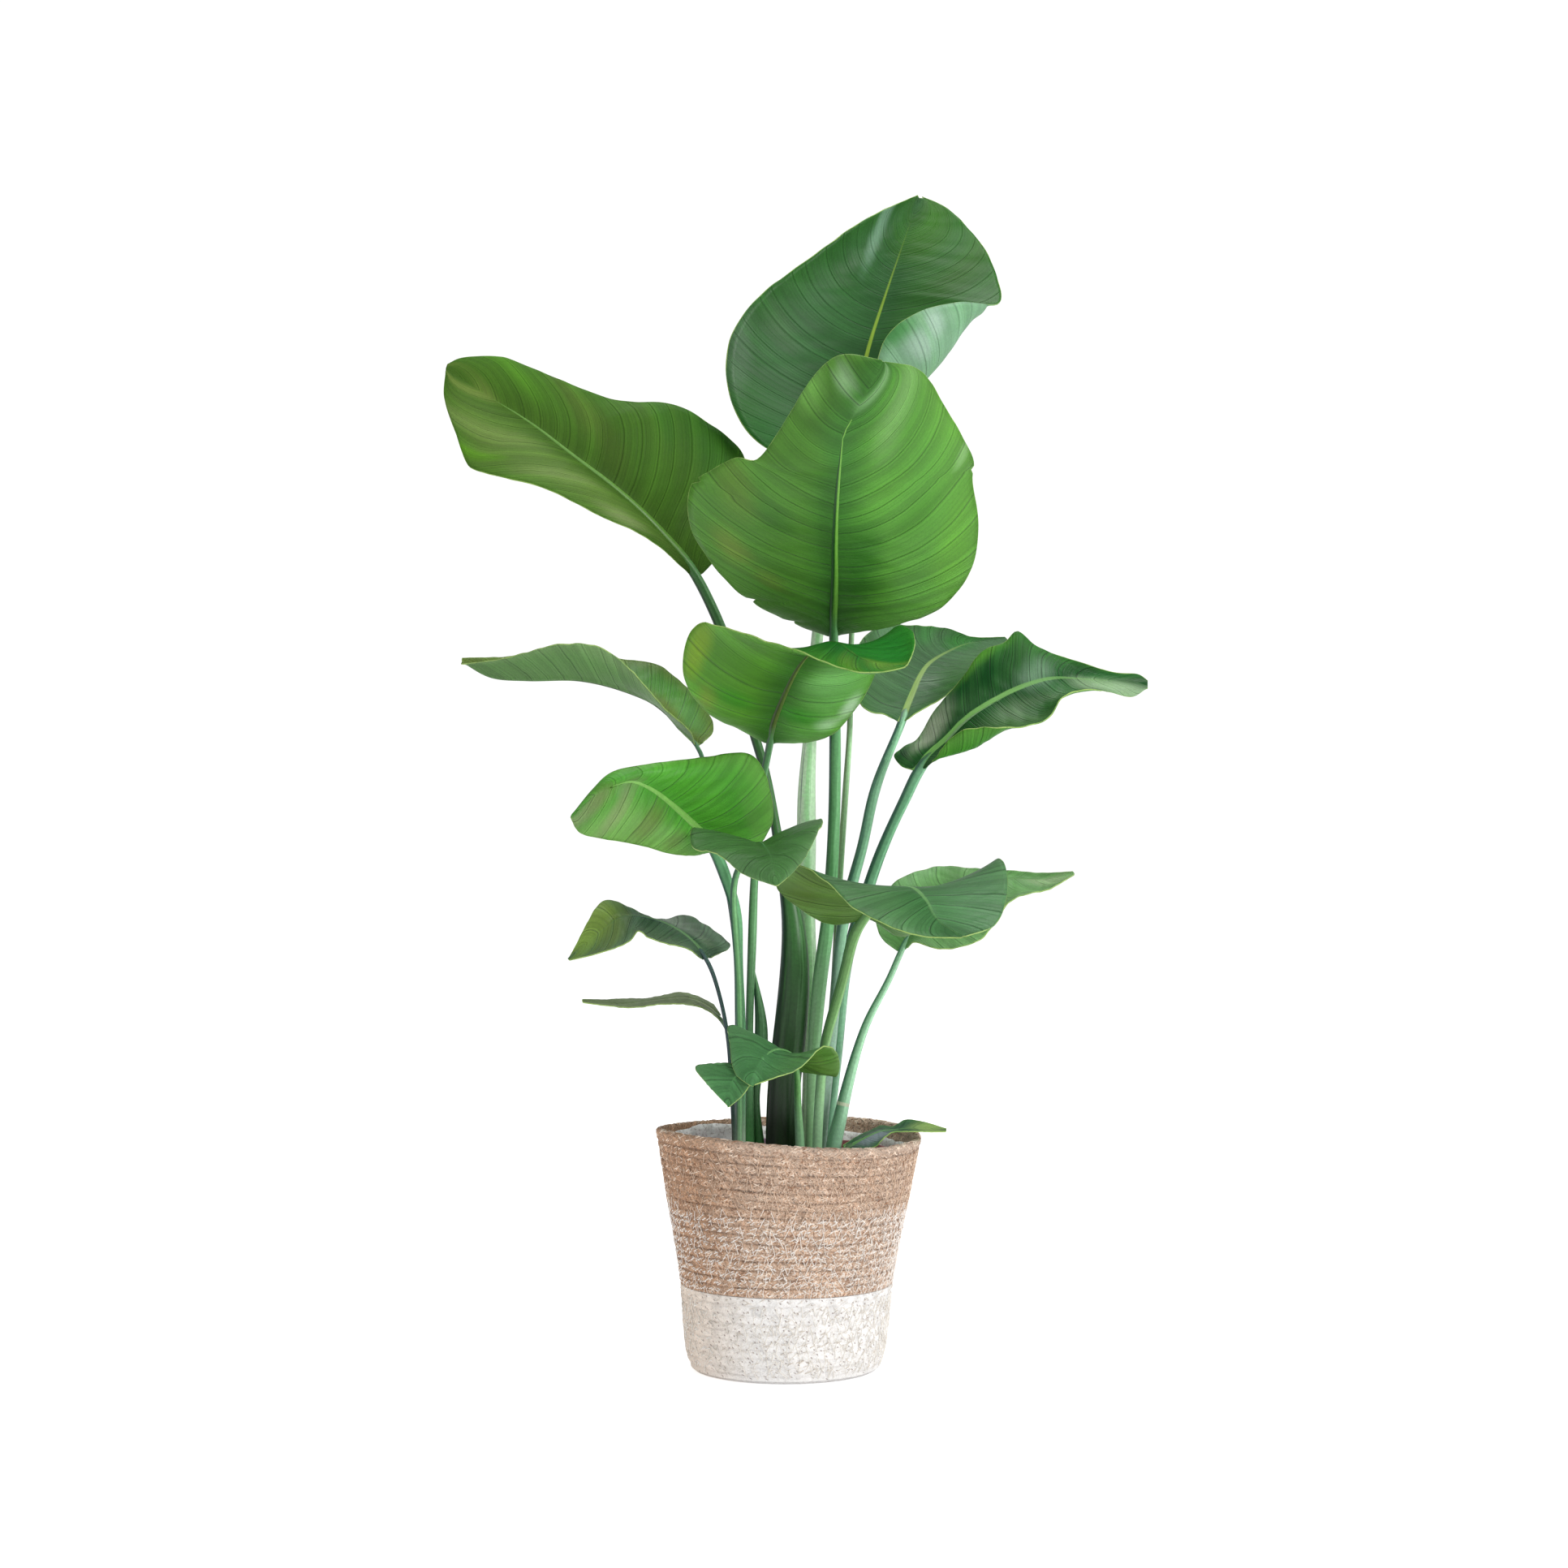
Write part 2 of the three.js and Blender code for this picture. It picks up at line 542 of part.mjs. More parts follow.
const grown = {};
for (const [name, shape] of Object.entries(leafShapes)) grown[name] = leaf(shape);

// Basket outer radius at a height: a rounded foot, a nearly straight wall and a flared rim.
const wallCurve = curveThrough([
  [63, 3], [66, 13], [68, 29], [69.5, 47], [71, 62], [75, 86], [80, 112], [86, 146], [rimRadius, rimHeight],
].map(([radius, height]) => new THREE.Vector3(radius, height, 0)));

function wallRadius(height) {
  let low = 0;
  let high = 1;
  for (let step = 0; step < 30; step += 1) {
    const middle = (low + high) / 2;
    if (wallCurve.getPoint(middle).y < height) low = middle;
    else high = middle;
  }
  return wallCurve.getPoint((low + high) / 2).x;
}

// The hand-made basket leans a little to the right, and its rim is higher at the left front.
function handMade(point) {
  const angle = Math.atan2(point.y, point.x);
  const share = point.z / rimHeight;
  const lift = -rimTilt * Math.cos(angle) + rimTwist * Math.sin(2 * angle);
  point.z += lift * Math.max(0, share) ** 3;
  point.x -= wallLean * (1 - share);
}

function ropeRows(first, count) {
  const profile = [];
  for (let row = first; row < first + count; row += 1) {
    const foot = row * ropePitch;
    profile.push([wallRadius(foot) - ropeBulge, foot]);
    profile.push([wallRadius(foot + ropePitch / 2), foot + ropePitch / 2]);
  }
  return profile;
}

const bandHeight = whiteRows * ropePitch;
const foldRadius = wallRadius(rimHeight);

function innerWall(height) {
  return wallRadius(height) - basketWall;
}

function whiteRope() {
  const rows = ropeRows(0, whiteRows).slice(1);
  return moveVertices(turned([
    [0, 0], [baseRadius, 0], [footRadius, 1], ...rows,
    [wallRadius(bandHeight) - ropeBulge, bandHeight - restGap],
    [innerWall(bandHeight), bandHeight - restGap],
    [innerWall(20), 20], [innerWall(insideFootHeight), insideFootHeight],
    [innerWall(insideFootHeight) - 3, basketWall], [0, basketWall],
  ], basketSides), handMade);
}

function naturalRope() {
  const top = (whiteRows + naturalRows) * ropePitch;
  return moveVertices(turned([
    ...ropeRows(whiteRows, naturalRows),
    [foldRadius - 0.6, top - 0.4], [foldRadius - 2.5, top + 0.9], [foldRadius - 4.4, top - 0.6],
    ...[150, 118, 80, bandHeight].map((height) => [innerWall(height), height]),
    [wallRadius(bandHeight) - ropeBulge, bandHeight],
  ], basketSides), handMade);
}

// Clear film between the basket and the pot, crinkled toward its open edge.
function film() {
  const inner = (height) => innerWall(height) - filmClearance;
  const floor = basketWall + restGap;
  const outside = [[0, floor], [filmFloorRadius, floor], [inner(12), 14], [inner(60), 60], [inner(110), 110],
    [inner(filmTop), filmTop]];
  const inside = outside.slice(1).reverse().map(([radius, height], i) => (
    [radius - filmThickness, i === 0 ? height : height + filmThickness * 0.4]));
  const geometry = turned([...outside, ...inside, [0, floor + filmThickness]], basketSides);
  return moveVertices(geometry, (point) => {
    const angle = Math.atan2(point.y, point.x);
    const share = Math.max(0, (point.z - crinkleStart) / (filmTop - crinkleStart));
    const radius = Math.hypot(point.x, point.y);
    const crinkle = filmCrinkle * share * (Math.sin(9 * angle) + 0.6 * Math.sin(17 * angle + 1)) / 1.6;
    point.x *= (radius + crinkle) / radius || 1;
    point.y *= (radius + crinkle) / radius || 1;
    handMade(point);
  });
}

const potFloor = basketWall + 3 * restGap + filmThickness;

function potRadius(height) {
  const share = (height - potFloor) / (potTopHeight - potFloor);
  return potBaseRadius + (potTopRadius - potLipOut - potBaseRadius) * share;
}

function nurseryPot() {
  const lipFoot = potTopHeight - potLip;
  return turned([
    [0, potFloor], [potRadius(potFloor) - 2, potFloor], [potRadius(potFloor + 3), potFloor + 3],
    [potRadius(lipFoot), lipFoot], [potTopRadius, lipFoot], [potTopRadius, potTopHeight],
    [potTopRadius - potWall, potTopHeight], [potRadius(lipFoot) - potWall, lipFoot],
    [potRadius(potFloor + 3) - potWall, potFloor + 3], [potRadius(potFloor) - 3, potFloor + potWall],
    [0, potFloor + potWall],
  ], potSides);
}

function soilPlug() {
  const floor = potFloor + potWall + restGap;
  const inner = (height) => potRadius(height) - potWall - restGap;
  const mound = moveVertices(turned([
    [0, floor], [inner(floor + 4) - 3, floor], [inner(floor + 4), floor + 4],
    [inner(soilTop - 3), soilTop - 3], [54, soilTop - 1.5], [36, soilTop], [18, soilTop - 0.6],
    [0, soilTop],
  ], soilSides), (point) => {
    if (point.z > soilTop - 2 && Math.hypot(point.x, point.y) > 1) {
      point.z += 0.7 * Math.sin(point.x * 0.31) * Math.cos(point.y * 0.27);
    }
  });
  let soil = solidOf(mound);
  for (const { foot, footRadius } of Object.values(grown)) {
    const radius = (footRadius + holeClearance) / Math.cos(Math.PI / holeSides);
    const depth = soilTop + 10 - (stemBottom - restGap);
    const hole = new THREE.CylinderGeometry(radius, radius, depth, holeSides);
    hole.rotateX(Math.PI / 2);
    hole.translate(foot.x, foot.y, stemBottom - restGap + depth / 2);
    soil = soil.subtract(solidOf(hole));
  }
  return soil;
}

// Materials
function finish(color, roughness) {
  return new THREE.MeshStandardMaterial({ color, roughness, metalness: 0 });
}

const finishes = {
  naturalRope: finish(0xc3a07d, 0.95),
  whiteRope: finish(0xe4dacb, 0.95),
  film: finish(0xd8dade, 0.25),
  pot: finish(0x6e4f58, 0.6),
  soil: finish(0x3a2b20, 1),
  leafDark: finish(0x3a703a, 0.4),
  leafBright: finish(0x50963a, 0.45),
  leafOlive: finish(0x5a8c3c, 0.45),
};

const leafFinishes = {
  leaf_top_back: finishes.leafDark,
  leaf_centre_front: finishes.leafBright,
  leaf_upper_left: finishes.leafOlive,
  leaf_middle_front: finishes.leafBright,
  leaf_lower_left_front: finishes.leafBright,
  leaf_low_left: finishes.leafOlive,
  leaf_low_left_thin: finishes.leafOlive,
  leaf_over_rim: finishes.leafOlive,
  rolled_spear: finishes.leafBright,
};

const plant = new THREE.Group();

function place(name, geometry, material) {
  const mesh = new THREE.Mesh(geometry, material);
  mesh.name = name;
  plant.add(mesh);
}

place('basket_white_rope', geometryOf(solidOf(whiteRope())), finishes.whiteRope);
place('basket_natural_rope', geometryOf(solidOf(naturalRope())), finishes.naturalRope);
place('film_lining', geometryOf(solidOf(film())), finishes.film);
place('nursery_pot', geometryOf(solidOf(nurseryPot())), finishes.pot);
place('potting_soil', geometryOf(soilPlug()), finishes.soil);
for (const [name, { whole }] of Object.entries(grown)) {
  place(name, geometryOf(whole), leafFinishes[name] ?? finishes.leafDark);
}

export default plant;
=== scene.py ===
# A young giant white bird of paradise in its nursery pot, standing in a two-colour rope basket.
# Rails, heights and radii are given in millimetres, and become metres where the meshes are built.
import math
import random

import bpy
import numpy as np
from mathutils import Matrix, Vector, noise


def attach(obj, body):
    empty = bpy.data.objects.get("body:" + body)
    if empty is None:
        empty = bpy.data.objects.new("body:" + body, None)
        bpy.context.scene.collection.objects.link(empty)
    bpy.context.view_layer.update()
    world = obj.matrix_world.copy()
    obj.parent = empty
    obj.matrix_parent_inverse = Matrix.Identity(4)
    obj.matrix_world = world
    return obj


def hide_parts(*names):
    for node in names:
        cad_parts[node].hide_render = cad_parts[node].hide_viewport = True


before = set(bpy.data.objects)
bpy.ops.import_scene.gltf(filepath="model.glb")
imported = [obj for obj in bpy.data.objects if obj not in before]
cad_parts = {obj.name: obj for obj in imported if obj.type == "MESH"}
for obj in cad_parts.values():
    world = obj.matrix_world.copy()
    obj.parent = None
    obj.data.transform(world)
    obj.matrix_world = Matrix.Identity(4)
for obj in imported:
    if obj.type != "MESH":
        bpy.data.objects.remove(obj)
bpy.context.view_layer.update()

MM = 0.001

# The photograph's viewpoint, from which every leaf rail is given
EYE_DISTANCE = 2000
EYE_HEIGHT = 388
EYE_X = -3
PHOTO_SIDE_PIXELS = 1932
MM_PER_PIXEL = 0.54
SENSOR_MM = 36

# Blades
BLADE_ROWS = 120
HALF_BLADE_COLUMNS = 18
BLADE_THICKNESS = 0.8
KEEL_THICKNESS = 1.6
KEEL_HALF_WIDTH = 1.8
RIB_GROOVE_DEPTH = 0.9
RIB_GROOVE_HALF_WIDTH = 2.6
RIPPLES = 3.5
RIPPLE_HEIGHT = 1.4
RIPPLE_FULL_WIDTH = 45          # a half this wide has ripples of the full height
PLEATS = ((17, 0.5), (23.7, 0.35), (39, 0.2))   # how many along the blade, and their share of the height
PLEAT_HEIGHT = 0.35
PLEAT_FULL_WIDTH = 25
FRILLS, FRILL_SWELLS = 13, 4.3
FRILL_HEIGHT = 0.5
FRILL_FULL_WIDTH = 40
FINE_VEIN_GAP = 1.2
MAIN_VEIN_GAP = 6.0
VEINS = (0.08, 0.24, 0.09)      # how deep the fine veins, the main veins and the strips between them show
VEIN_LEAN = ((0.12, 0.12), (0.12, 0.12))   # how far veins run toward the tip, left then right, base to tip
BLADE_SHINE = 0.3
RIB_SHARE = 0.55                # half a rib's width as a share of its stalk's width

# Stalks
STALK_ROWS = 84
STALK_COLUMNS = 20
STALK_STEADY_REACH = 22         # wobbles of a stalk are evened out over this length
STALK_CHANNEL_DEPTH = 0.14
STALK_FACING = (0.2, 1.0, 0.0)
RIB_STATIONS = 12
STEM_BOTTOM = 104
STEM_STRAIGHT_TOP = 137
STEM_BEND_HEIGHT = 141
BRACT_ROWS = 40
BRACT_FLATNESS = 0.6

# Basket
RIM_HEIGHT = 155.2
RIM_TILT = 2.2
RIM_TWIST = 2
WALL_LEAN = 2.2
ROPE_ROWS = 27
WHITE_ROWS = 10
ROPE_PITCH = RIM_HEIGHT / ROPE_ROWS
ROPE_AROUND = 560
FACES_PER_ROPE_ROW = 7
ROPE_RELIEF = 1.05
ROW_WAVE = 0.45
ROW_DRIFT = 0.22
PLY_LENGTH = 3.6
PLY_RELIEF = 0.34
DRIFT_RELIEF = 0.14
PINHOLE_PITCH = 5.4
BASKET_WALL = 5
BASE_RADIUS = 57
UNDERSIDE_START = 40            # the row from which the underside's rope is counted, past all others
POLE_RADIUS = 0.01              # the innermost ring of a closed bottom
WALL_PROFILE = [
    (63, 3), (66, 13), (68, 29), (69.5, 47), (71, 62), (75, 86), (80, 112), (86, 146), (88, RIM_HEIGHT),
]
THREAD_LIFT, STRAND_LIFT = 0.35, 0.12   # how far they stand off the wall
THREAD_SINK = 0.45              # how much of the hollow between two rows a thread follows
END_DEPTH = 0.9                 # how far a thread's ends go into the rope
RIM_ROLL = 2.5                  # the radius to which the rim is rolled
RIM_STRANDS = 330

# Film, pot and soil
FILM_AROUND, FILM_UP = 240, 44
FILM_BOTTOM, FILM_TOP = 12, 148
FILM_FLOOR = 5.4
FILM_GAP = 2.2
FILM_THICKNESS = 0.25
CREASES_FROM = 50               # the film is smooth below this height
CREASE_DEPTH = 3.2
FILM_EDGE_WAVE = 2.2
FILM_PEAK = 8.0                 # how much higher the film stands at its peak, at the left back
PEAK_ANGLE, PEAK_SPREAD = 2.35, 0.7     # radians
POT_AROUND = 180
POT_FLOOR, POT_TOP = 6.6, 144.5
POT_FOOT_RADIUS, POT_RADIUS = 50, 68
POT_LIP, POT_LIP_HEIGHT = 2, 6
POT_WALL = 1.6
SOIL_AROUND, SOIL_ACROSS = 240, 70
SOIL_TOP = 133
SOIL_RADIUS = POT_RADIUS - POT_LIP - POT_WALL - 0.6
CRUMBS = 900

# Colours of 0 to 255 a channel
MARGIN_UPPER = (150, 180, 96)
MARGIN_UNDER = (166, 194, 112)
# painted shade down the left edge of a stalk
STALK_SHADE_EDGE = (58, 84, 92)
STALK_COLLAR = (224, 226, 198)
STALK_FOOT = ((176, 190, 150), 175, 0.3)
LEAF_GLOSS_SHARE = 0.012        # what gloss adds to each channel of a leaf's colour
LEAF_DEPTH = 0.9                # a leaf's own colour is this share of the one it shows

# Leaf rails: (x, z, depth) along each line as the viewer sees it, and a stalk's width last.
# A rib runs from the stalk to the tip, and left and right are as seen looking along the rib.
# A belly is how far each half bulges, and a nick in a margin is (x, z, half its width, depth). Where the
# underside is -1, the viewer sees the lower face. The tip that hangs from a torn leaf is under torn.
LEAF_SHAPES = {
    "leaf_top_back": dict(
        path=[(12, 147, 8, 8), (14, 213, 12, 8.6), (14, 267, 13, 9.7), (12, 305, 14, 11.3), (12, 353, 17, 13),
            (12, 384, 20, 12), (14, 415, 23, 9.2), (19, 485, 30, 8), (27, 542, 37, 6.5), (37, 585, 43, 5.4),
            (41, 603, 45, 4.9)],
        rib=[(41, 603, 45), (42, 620, 48), (45, 639, 52), (52, 674, 62), (66, 718, 80), (87, 778, 115)],
        left=[(36, 600, 45), (2, 604, 30), (-25, 620, 22), (-40, 650, 20), (-39, 683, 28), (-20, 711, 42),
            (15, 739, 62), (56, 766, 88), (86, 780, 117)],
        right_fold=[(46, 604, 45), (61, 618, 40), (76, 637, 35), (90, 656, 30), (104, 672, 28),
            (117, 694, 34), (122, 701, 42), (113, 712, 56), (108, 718, 64), (104, 750, 92), (90, 778, 116)],
        right=[(47, 603, 44), (53, 629, 15), (57, 653, 8), (59, 671, 5), (66, 687, 5), (86, 701, 10),
            (112, 708, 22), (140, 709, 42), (139, 724, 64), (127, 749, 88), (106, 771, 108), (89, 779, 118)],
        belly=(8, 0), lean=((0.3, 0.16), (0.15, 0.2)),
    ),
    "leaf_centre_front": dict(
        path=[(15, 147, -10, 7.6), (17, 213, -12, 8.6), (22, 267, -12, 9.7), (26, 294, -12, 9.2),
            (30, 353, -14, 8.1), (31, 421, -19, 7.6), (30, 487, -25, 5.9)],
        rib=[(30, 487, -25), (30, 502, -38), (31, 523, -56), (31, 550, -78), (32, 575, -98), (34, 601, -115),
            (37, 623, -128), (46, 638, -138), (63, 669, -150)],
        left=[(26, 487, -25), (2, 496, -30), (-36, 519, -35), (-64, 556, -40), (-64, 588, -58),
            (-50, 598, -68), (-36, 605, -80), (-20, 604, -96), (-6, 622, -106), (16, 658, -122),
            (34, 673, -135), (62, 670, -150)],
        right=[(35, 488, -25), (70, 494, -35), (101, 505, -45), (121, 531, -50), (126, 560, -58),
            (122, 590, -70), (123, 602, -76), (116, 618, -90), (104, 639, -108), (86, 664, -136),
            (64, 669, -150)],
        belly=(-9, -9), underside=-1, lean=((0.34, -0.02), (0.2, 0.3)),
        nicks=([(-63, 591, 3.0, 4.0), (-27, 512, 3.0, 4.5), (1, 497, 3.5, 3.5)], [(121, 598, 3.0, 1.6)]),
    ),
    "leaf_upper_left": dict(
        path=[(-5, 147, -6, 21), (-3, 188, -6, 22), (1, 224, -5, 22), (4, 262, -4, 20), (3, 296, 0, 15),
            (-2, 324, 4, 10), (-7, 350, 8, 7), (-11, 375, 10, 6), (-17, 402, 12, 6.5), (-22, 418, 14, 6.5),
            (-36, 467, 18, 7), (-47, 497, 21, 7.2), (-54, 512, 23, 7), (-61, 526, 25, 7)],
        rib=[(-61, 526, 25), (-68, 535, 24), (-94, 564, 18), (-117, 585, 13), (-143, 605, 9), (-174, 629, 6),
            (-201, 646, 4), (-228, 664, 4)],
        left=[(-65, 527, 24), (-72, 533, 15), (-83, 543, 5), (-101, 555, -10), (-128, 568, -22),
            (-158, 582, -28), (-190, 592, -30), (-210, 598, -25), (-214, 602, -22), (-222, 622, -14),
            (-229, 646, -2), (-228, 662, 3)],
        right=[(-57, 528, 26), (-42, 546, 36), (-28, 580, 45), (-30, 606, 45), (-52, 626, 42), (-76, 640, 37),
            (-118, 644, 29), (-152, 656, 20), (-184, 670, 13), (-191, 672, 12), (-218, 671, 8),
            (-227, 667, 5)],
        belly=(-5, -5), underside=-1, lean=((0.36, 0.3), (0.38, 0.2)),
    ),
    "leaf_middle_front": dict(
        path=[(-26, 147, 2, 8.4), (-26, 180, 1, 6), (-26, 229, 0, 5.2), (-25, 261, -1, 5.6),
            (-24, 288, -3, 6), (-23, 321, -5, 5.4), (-20, 359, -8, 4.6), (-17, 391, -11, 4.4),
            (-12, 416, -20, 4.9)],
        bract=[(-19, 141, 3, 8.6), (-22, 183, 3, 5), (-18, 213, 2, 9.7), (-18, 229, 1, 8.4),
            (-23, 264, 0, 1.2)],
        rib=[(-12, 416, -20), (-10, 429, -32), (-5, 442, -45), (1, 456, -60), (9, 470, -75), (21, 482, -92),
            (33, 483, -108), (44, 475, -122), (58, 469, -131), (78, 467, -136)],
        left=[(-16, 416, -20), (-31, 424, -25), (-53, 436, -32), (-69, 458, -45), (-68, 482, -62),
            (-60, 495, -76), (-47, 495, -90), (-13, 482, -112), (9, 476, -124), (22, 471, -131),
            (35, 466, -136), (47, 463, -139), (63, 463, -140), (77, 466, -137)],
        right=[(-8, 416, -20), (7, 416, -25), (29, 421, -35), (46, 441, -45), (57, 461, -55), (64, 480, -62),
            (72, 493, -70), (82, 491, -84), (84, 482, -104), (82, 474, -122), (79, 468, -135)],
        belly=(-7, -7), underside=-1,
    ),
    "leaf_middle_right": dict(
        path=[(22, 147, 4, 6.5), (31, 244, 2, 7.6), (35, 288, 0, 7.6), (42, 321, -2, 7.6), (49, 345, -3, 7),
            (57, 383, -4, 7), (66, 407, -5, 5.9), (76, 430, -5, 5.4)],
        rib=[(75, 430, -5), (79, 441, 8), (83, 450, 22), (88, 461, 38), (94, 469, 54), (107, 477, 78),
            (120, 482, 98), (145, 485, 122)],
        left=[(72, 430, -5), (63, 435, -11), (53, 437, -13), (47, 443, -12), (45, 461, -2), (47, 481, 24),
            (60, 492, 46), (84, 494, 66), (104, 492, 86), (122, 486, 104), (144, 486, 122)],
        right=[(79, 431, -4), (84, 435, -2), (91, 439, 2), (104, 447, 14), (117, 459, 28), (128, 468, 50),
            (140, 474, 84), (146, 484, 121)],
        belly=(3, 3),
    ),
    "leaf_right": dict(
        path=[(26, 148, 12, 7), (32, 207, 12, 7.6), (39, 272, 8, 8.1), (53, 319, 0, 8.1), (61, 342, -6, 7.6),
            (72, 367, -14, 7), (80, 383, -22, 7.6), (87, 399, -30, 7.6)],
        rib=[(85, 397, -30), (95, 410, -32), (104, 419, -34), (117, 432, -34), (130, 441, -33),
            (157, 454, -28), (177, 459, -22), (201, 458, -12), (239, 455, 0)],
        left=[(82, 398, -29), (75, 400, -24), (70, 407, -19), (76, 412, -14), (86, 418, -11), (94, 432, -9),
            (100, 442, -9), (109, 452, -9), (118, 462, -10), (124, 471, -11), (133, 478, -12),
            (143, 481, -12), (152, 490, -10), (166, 480, -8), (200, 467, -8), (218, 462, -5), (233, 461, -1),
            (239, 457, 1)],
        right_fold=[(89, 398, -32), (98, 405, -44), (109, 408, -50), (124, 413, -55), (136, 421, -54),
            (147, 430, -46), (163, 436, -42), (178, 447, -34), (204, 452, -18), (239, 453, -1)],
        right=[(91, 398, -33), (99, 406, -48), (105, 416, -58), (115, 424, -64), (126, 426, -66),
            (142, 425, -66), (156, 426, -62), (172, 432, -58), (182, 446, -45), (200, 451, -26),
            (214, 449, -14), (229, 446, -6), (239, 452, -2)],
        belly=(2, 0),
    ),
    "leaf_left": dict(
        path=[(-34, 147, 10, 3.2), (-34, 230, 10, 3.4), (-35, 276, 11, 3.4), (-39, 310, 12, 3.4),
            (-45, 337, 13, 3.2), (-50, 369, 14, 3.2), (-57, 406, 15, 3.2), (-59, 414, 15, 3.2)],
        rib=[(-59, 414, 15), (-69, 423, 14), (-85, 440, 12), (-109, 451, 8), (-139, 458, 4), (-174, 458, 0),
            (-198, 460, -3), (-217, 470, -5)],
        left=[(-62, 414, 13), (-65, 423, 5), (-82, 438, -5), (-102, 462, -15), (-123, 477, -20),
            (-152, 482, -22), (-187, 472, -15), (-218, 468, -6)],
        right=[(-57, 416, 17), (-50, 424, 30), (-59, 445, 40), (-85, 465, 45), (-110, 471, 42),
            (-147, 477, 35), (-190, 473, 15), (-217, 472, -4)],
        belly=(2, 3),
    ),
    "leaf_lower_left_front": dict(
        path=[(-31, 147, -14, 4.9), (-31, 231, -14, 5), (-33, 267, -15, 5.4), (-35, 305, -17, 7.6),
            (-40, 320, -20, 7), (-45, 335, -28, 8.6), (-50, 345, -35, 6.5)],
        rib=[(-50, 345, -35), (-56, 353, -45), (-66, 363, -58), (-78, 374, -70), (-91, 384, -82),
            (-106, 390, -92), (-125, 383, -100), (-144, 367, -102)],
        left=[(-53, 343, -36), (-63, 341, -50), (-79, 342, -60), (-96, 347, -72), (-112, 350, -85),
            (-125, 352, -95), (-139, 356, -100), (-145, 366, -102)],
        right=[(-46, 346, -33), (-25, 345, -25), (-12, 359, -20), (-11, 377, -25), (-25, 407, -40),
            (-56, 405, -62), (-98, 400, -85), (-118, 395, -92), (-130, 384, -98), (-143, 368, -102)],
        belly=(-5, -5), underside=-1,
    ),
    "leaf_front_drooping": dict(
        path=[(-33, 147, -23, 4.3), (-33, 245, -25, 4.3), (-35, 283, -26, 4.3), (-37, 315, -31, 4.3),
            (-35, 332, -35, 4.3), (-30, 338, -38, 4.3), (-25, 342, -42, 4.3)],
        rib=[(-25, 342, -42), (-20, 347, -70), (-16, 345, -98), (-12, 339, -120), (-10, 329, -137),
            (-8, 320, -146)],
        left=[(-28, 341, -42), (-47, 348, -52), (-63, 357, -70), (-64, 347, -92), (-47, 340, -112),
            (-28, 327, -132), (-9, 320, -146)],
        right=[(-23, 342, -42), (2, 352, -54), (19, 365, -68), (23, 362, -84), (16, 348, -106),
            (5, 331, -128), (-7, 320, -146)],
        belly=(2, 2),
    ),
    "leaf_lower_right_front": dict(
        path=[(19, 147, -26, 6.5), (22, 197, -28, 6.5), (24, 215, -29, 6.5), (31, 240, -32, 7),
            (38, 265, -36, 7), (44, 290, -42, 7.6), (50, 299, -46, 7)],
        rib=[(50, 299, -46), (58, 309, -55), (70, 318, -68), (82, 320, -82), (92, 311, -98), (99, 299, -108),
            (116, 287, -114)],
        left=[(45, 297, -46), (28, 295, -46), (5, 308, -50), (-8, 320, -58), (7, 334, -72), (25, 325, -88),
            (42, 306, -98), (67, 294, -108), (90, 287, -113), (115, 286, -115)],
        right=[(55, 299, -45), (77, 287, -34), (102, 302, -26), (139, 337, -48), (146, 321, -75),
            (138, 295, -98), (118, 287, -113)],
        belly=(-4, -4), underside=-1,
    ),
    "leaf_lower_right_back": dict(
        path=[(29, 147, -10, 10.8), (33, 159, -10, 9.6), (36, 174, -9, 9.0), (36, 178, -9, 7.6),
            (39, 185, -8, 8.1), (42, 199, -6, 7), (47, 215, -3, 5.9), (52, 230, -1, 5.4), (59, 243, 1, 4.9),
            (69, 262, 3, 4.3), (75, 278, 5, 4.3)],
        rib=[(75, 278, 5), (81, 291, 8), (91, 310, 12), (112, 323, 15), (145, 326, 15), (172, 325, 12),
            (190, 329, 10)],
        left=[(72, 277, 6), (61, 287, 14), (59, 306, 25), (70, 323, 32), (96, 332, 34), (131, 332, 30),
            (166, 329, 20), (189, 330, 11)],
        right=[(78, 278, 4), (84, 283, -10), (100, 279, -20), (126, 283, -22), (147, 310, -15),
            (172, 318, -5), (190, 328, 9)],
        belly=(3, 3),
    ),
    "leaf_low_left": dict(
        path=[(-36, 148, -4, 3), (-39, 204, -6, 2.7), (-40, 218, -7, 2.7), (-42, 230, -8, 2.7),
            (-44, 241, -8, 2.7), (-47, 251, -9, 2.7), (-49, 259, -9, 2.7), (-54, 272, -10, 3.2)],
        rib=[(-54, 272, -10), (-60, 281, -12), (-70, 290, -15), (-83, 297, -20), (-98, 301, -28),
            (-112, 300, -35), (-125, 290, -40), (-147, 272, -42)],
        left=[(-57, 271, -11), (-66, 278, -25), (-79, 282, -32), (-93, 286, -38), (-100, 290, -44),
            (-106, 284, -50), (-125, 276, -50), (-146, 271, -43)],
        right=[(-51, 273, -9), (-39, 280, 5), (-45, 288, 12), (-66, 300, 12), (-85, 298, 0), (-105, 306, -18),
            (-123, 310, -30), (-146, 273, -41)],
        belly=(2, 2),
    ),
    "leaf_low_left_thin": dict(
        path=[(-34, 147, 19, 3.4), (-37, 207, 19, 3.8), (-39, 226, 20, 3.8), (-45, 233, 20, 3.2)],
        rib=[(-45, 233, 20), (-52, 240, 18), (-66, 246, 14), (-87, 245, 8), (-112, 242, 4), (-137, 244, 0)],
        left=[(-45, 231, 18), (-53, 237, 4), (-66, 242, -6), (-87, 241, -12), (-112, 240, -10),
            (-137, 243, -1)],
        right=[(-45, 235, 22), (-52, 243, 34), (-66, 249, 36), (-87, 247, 30), (-112, 245, 18),
            (-137, 245, 1)],
    ),
    "leaf_low_front": dict(
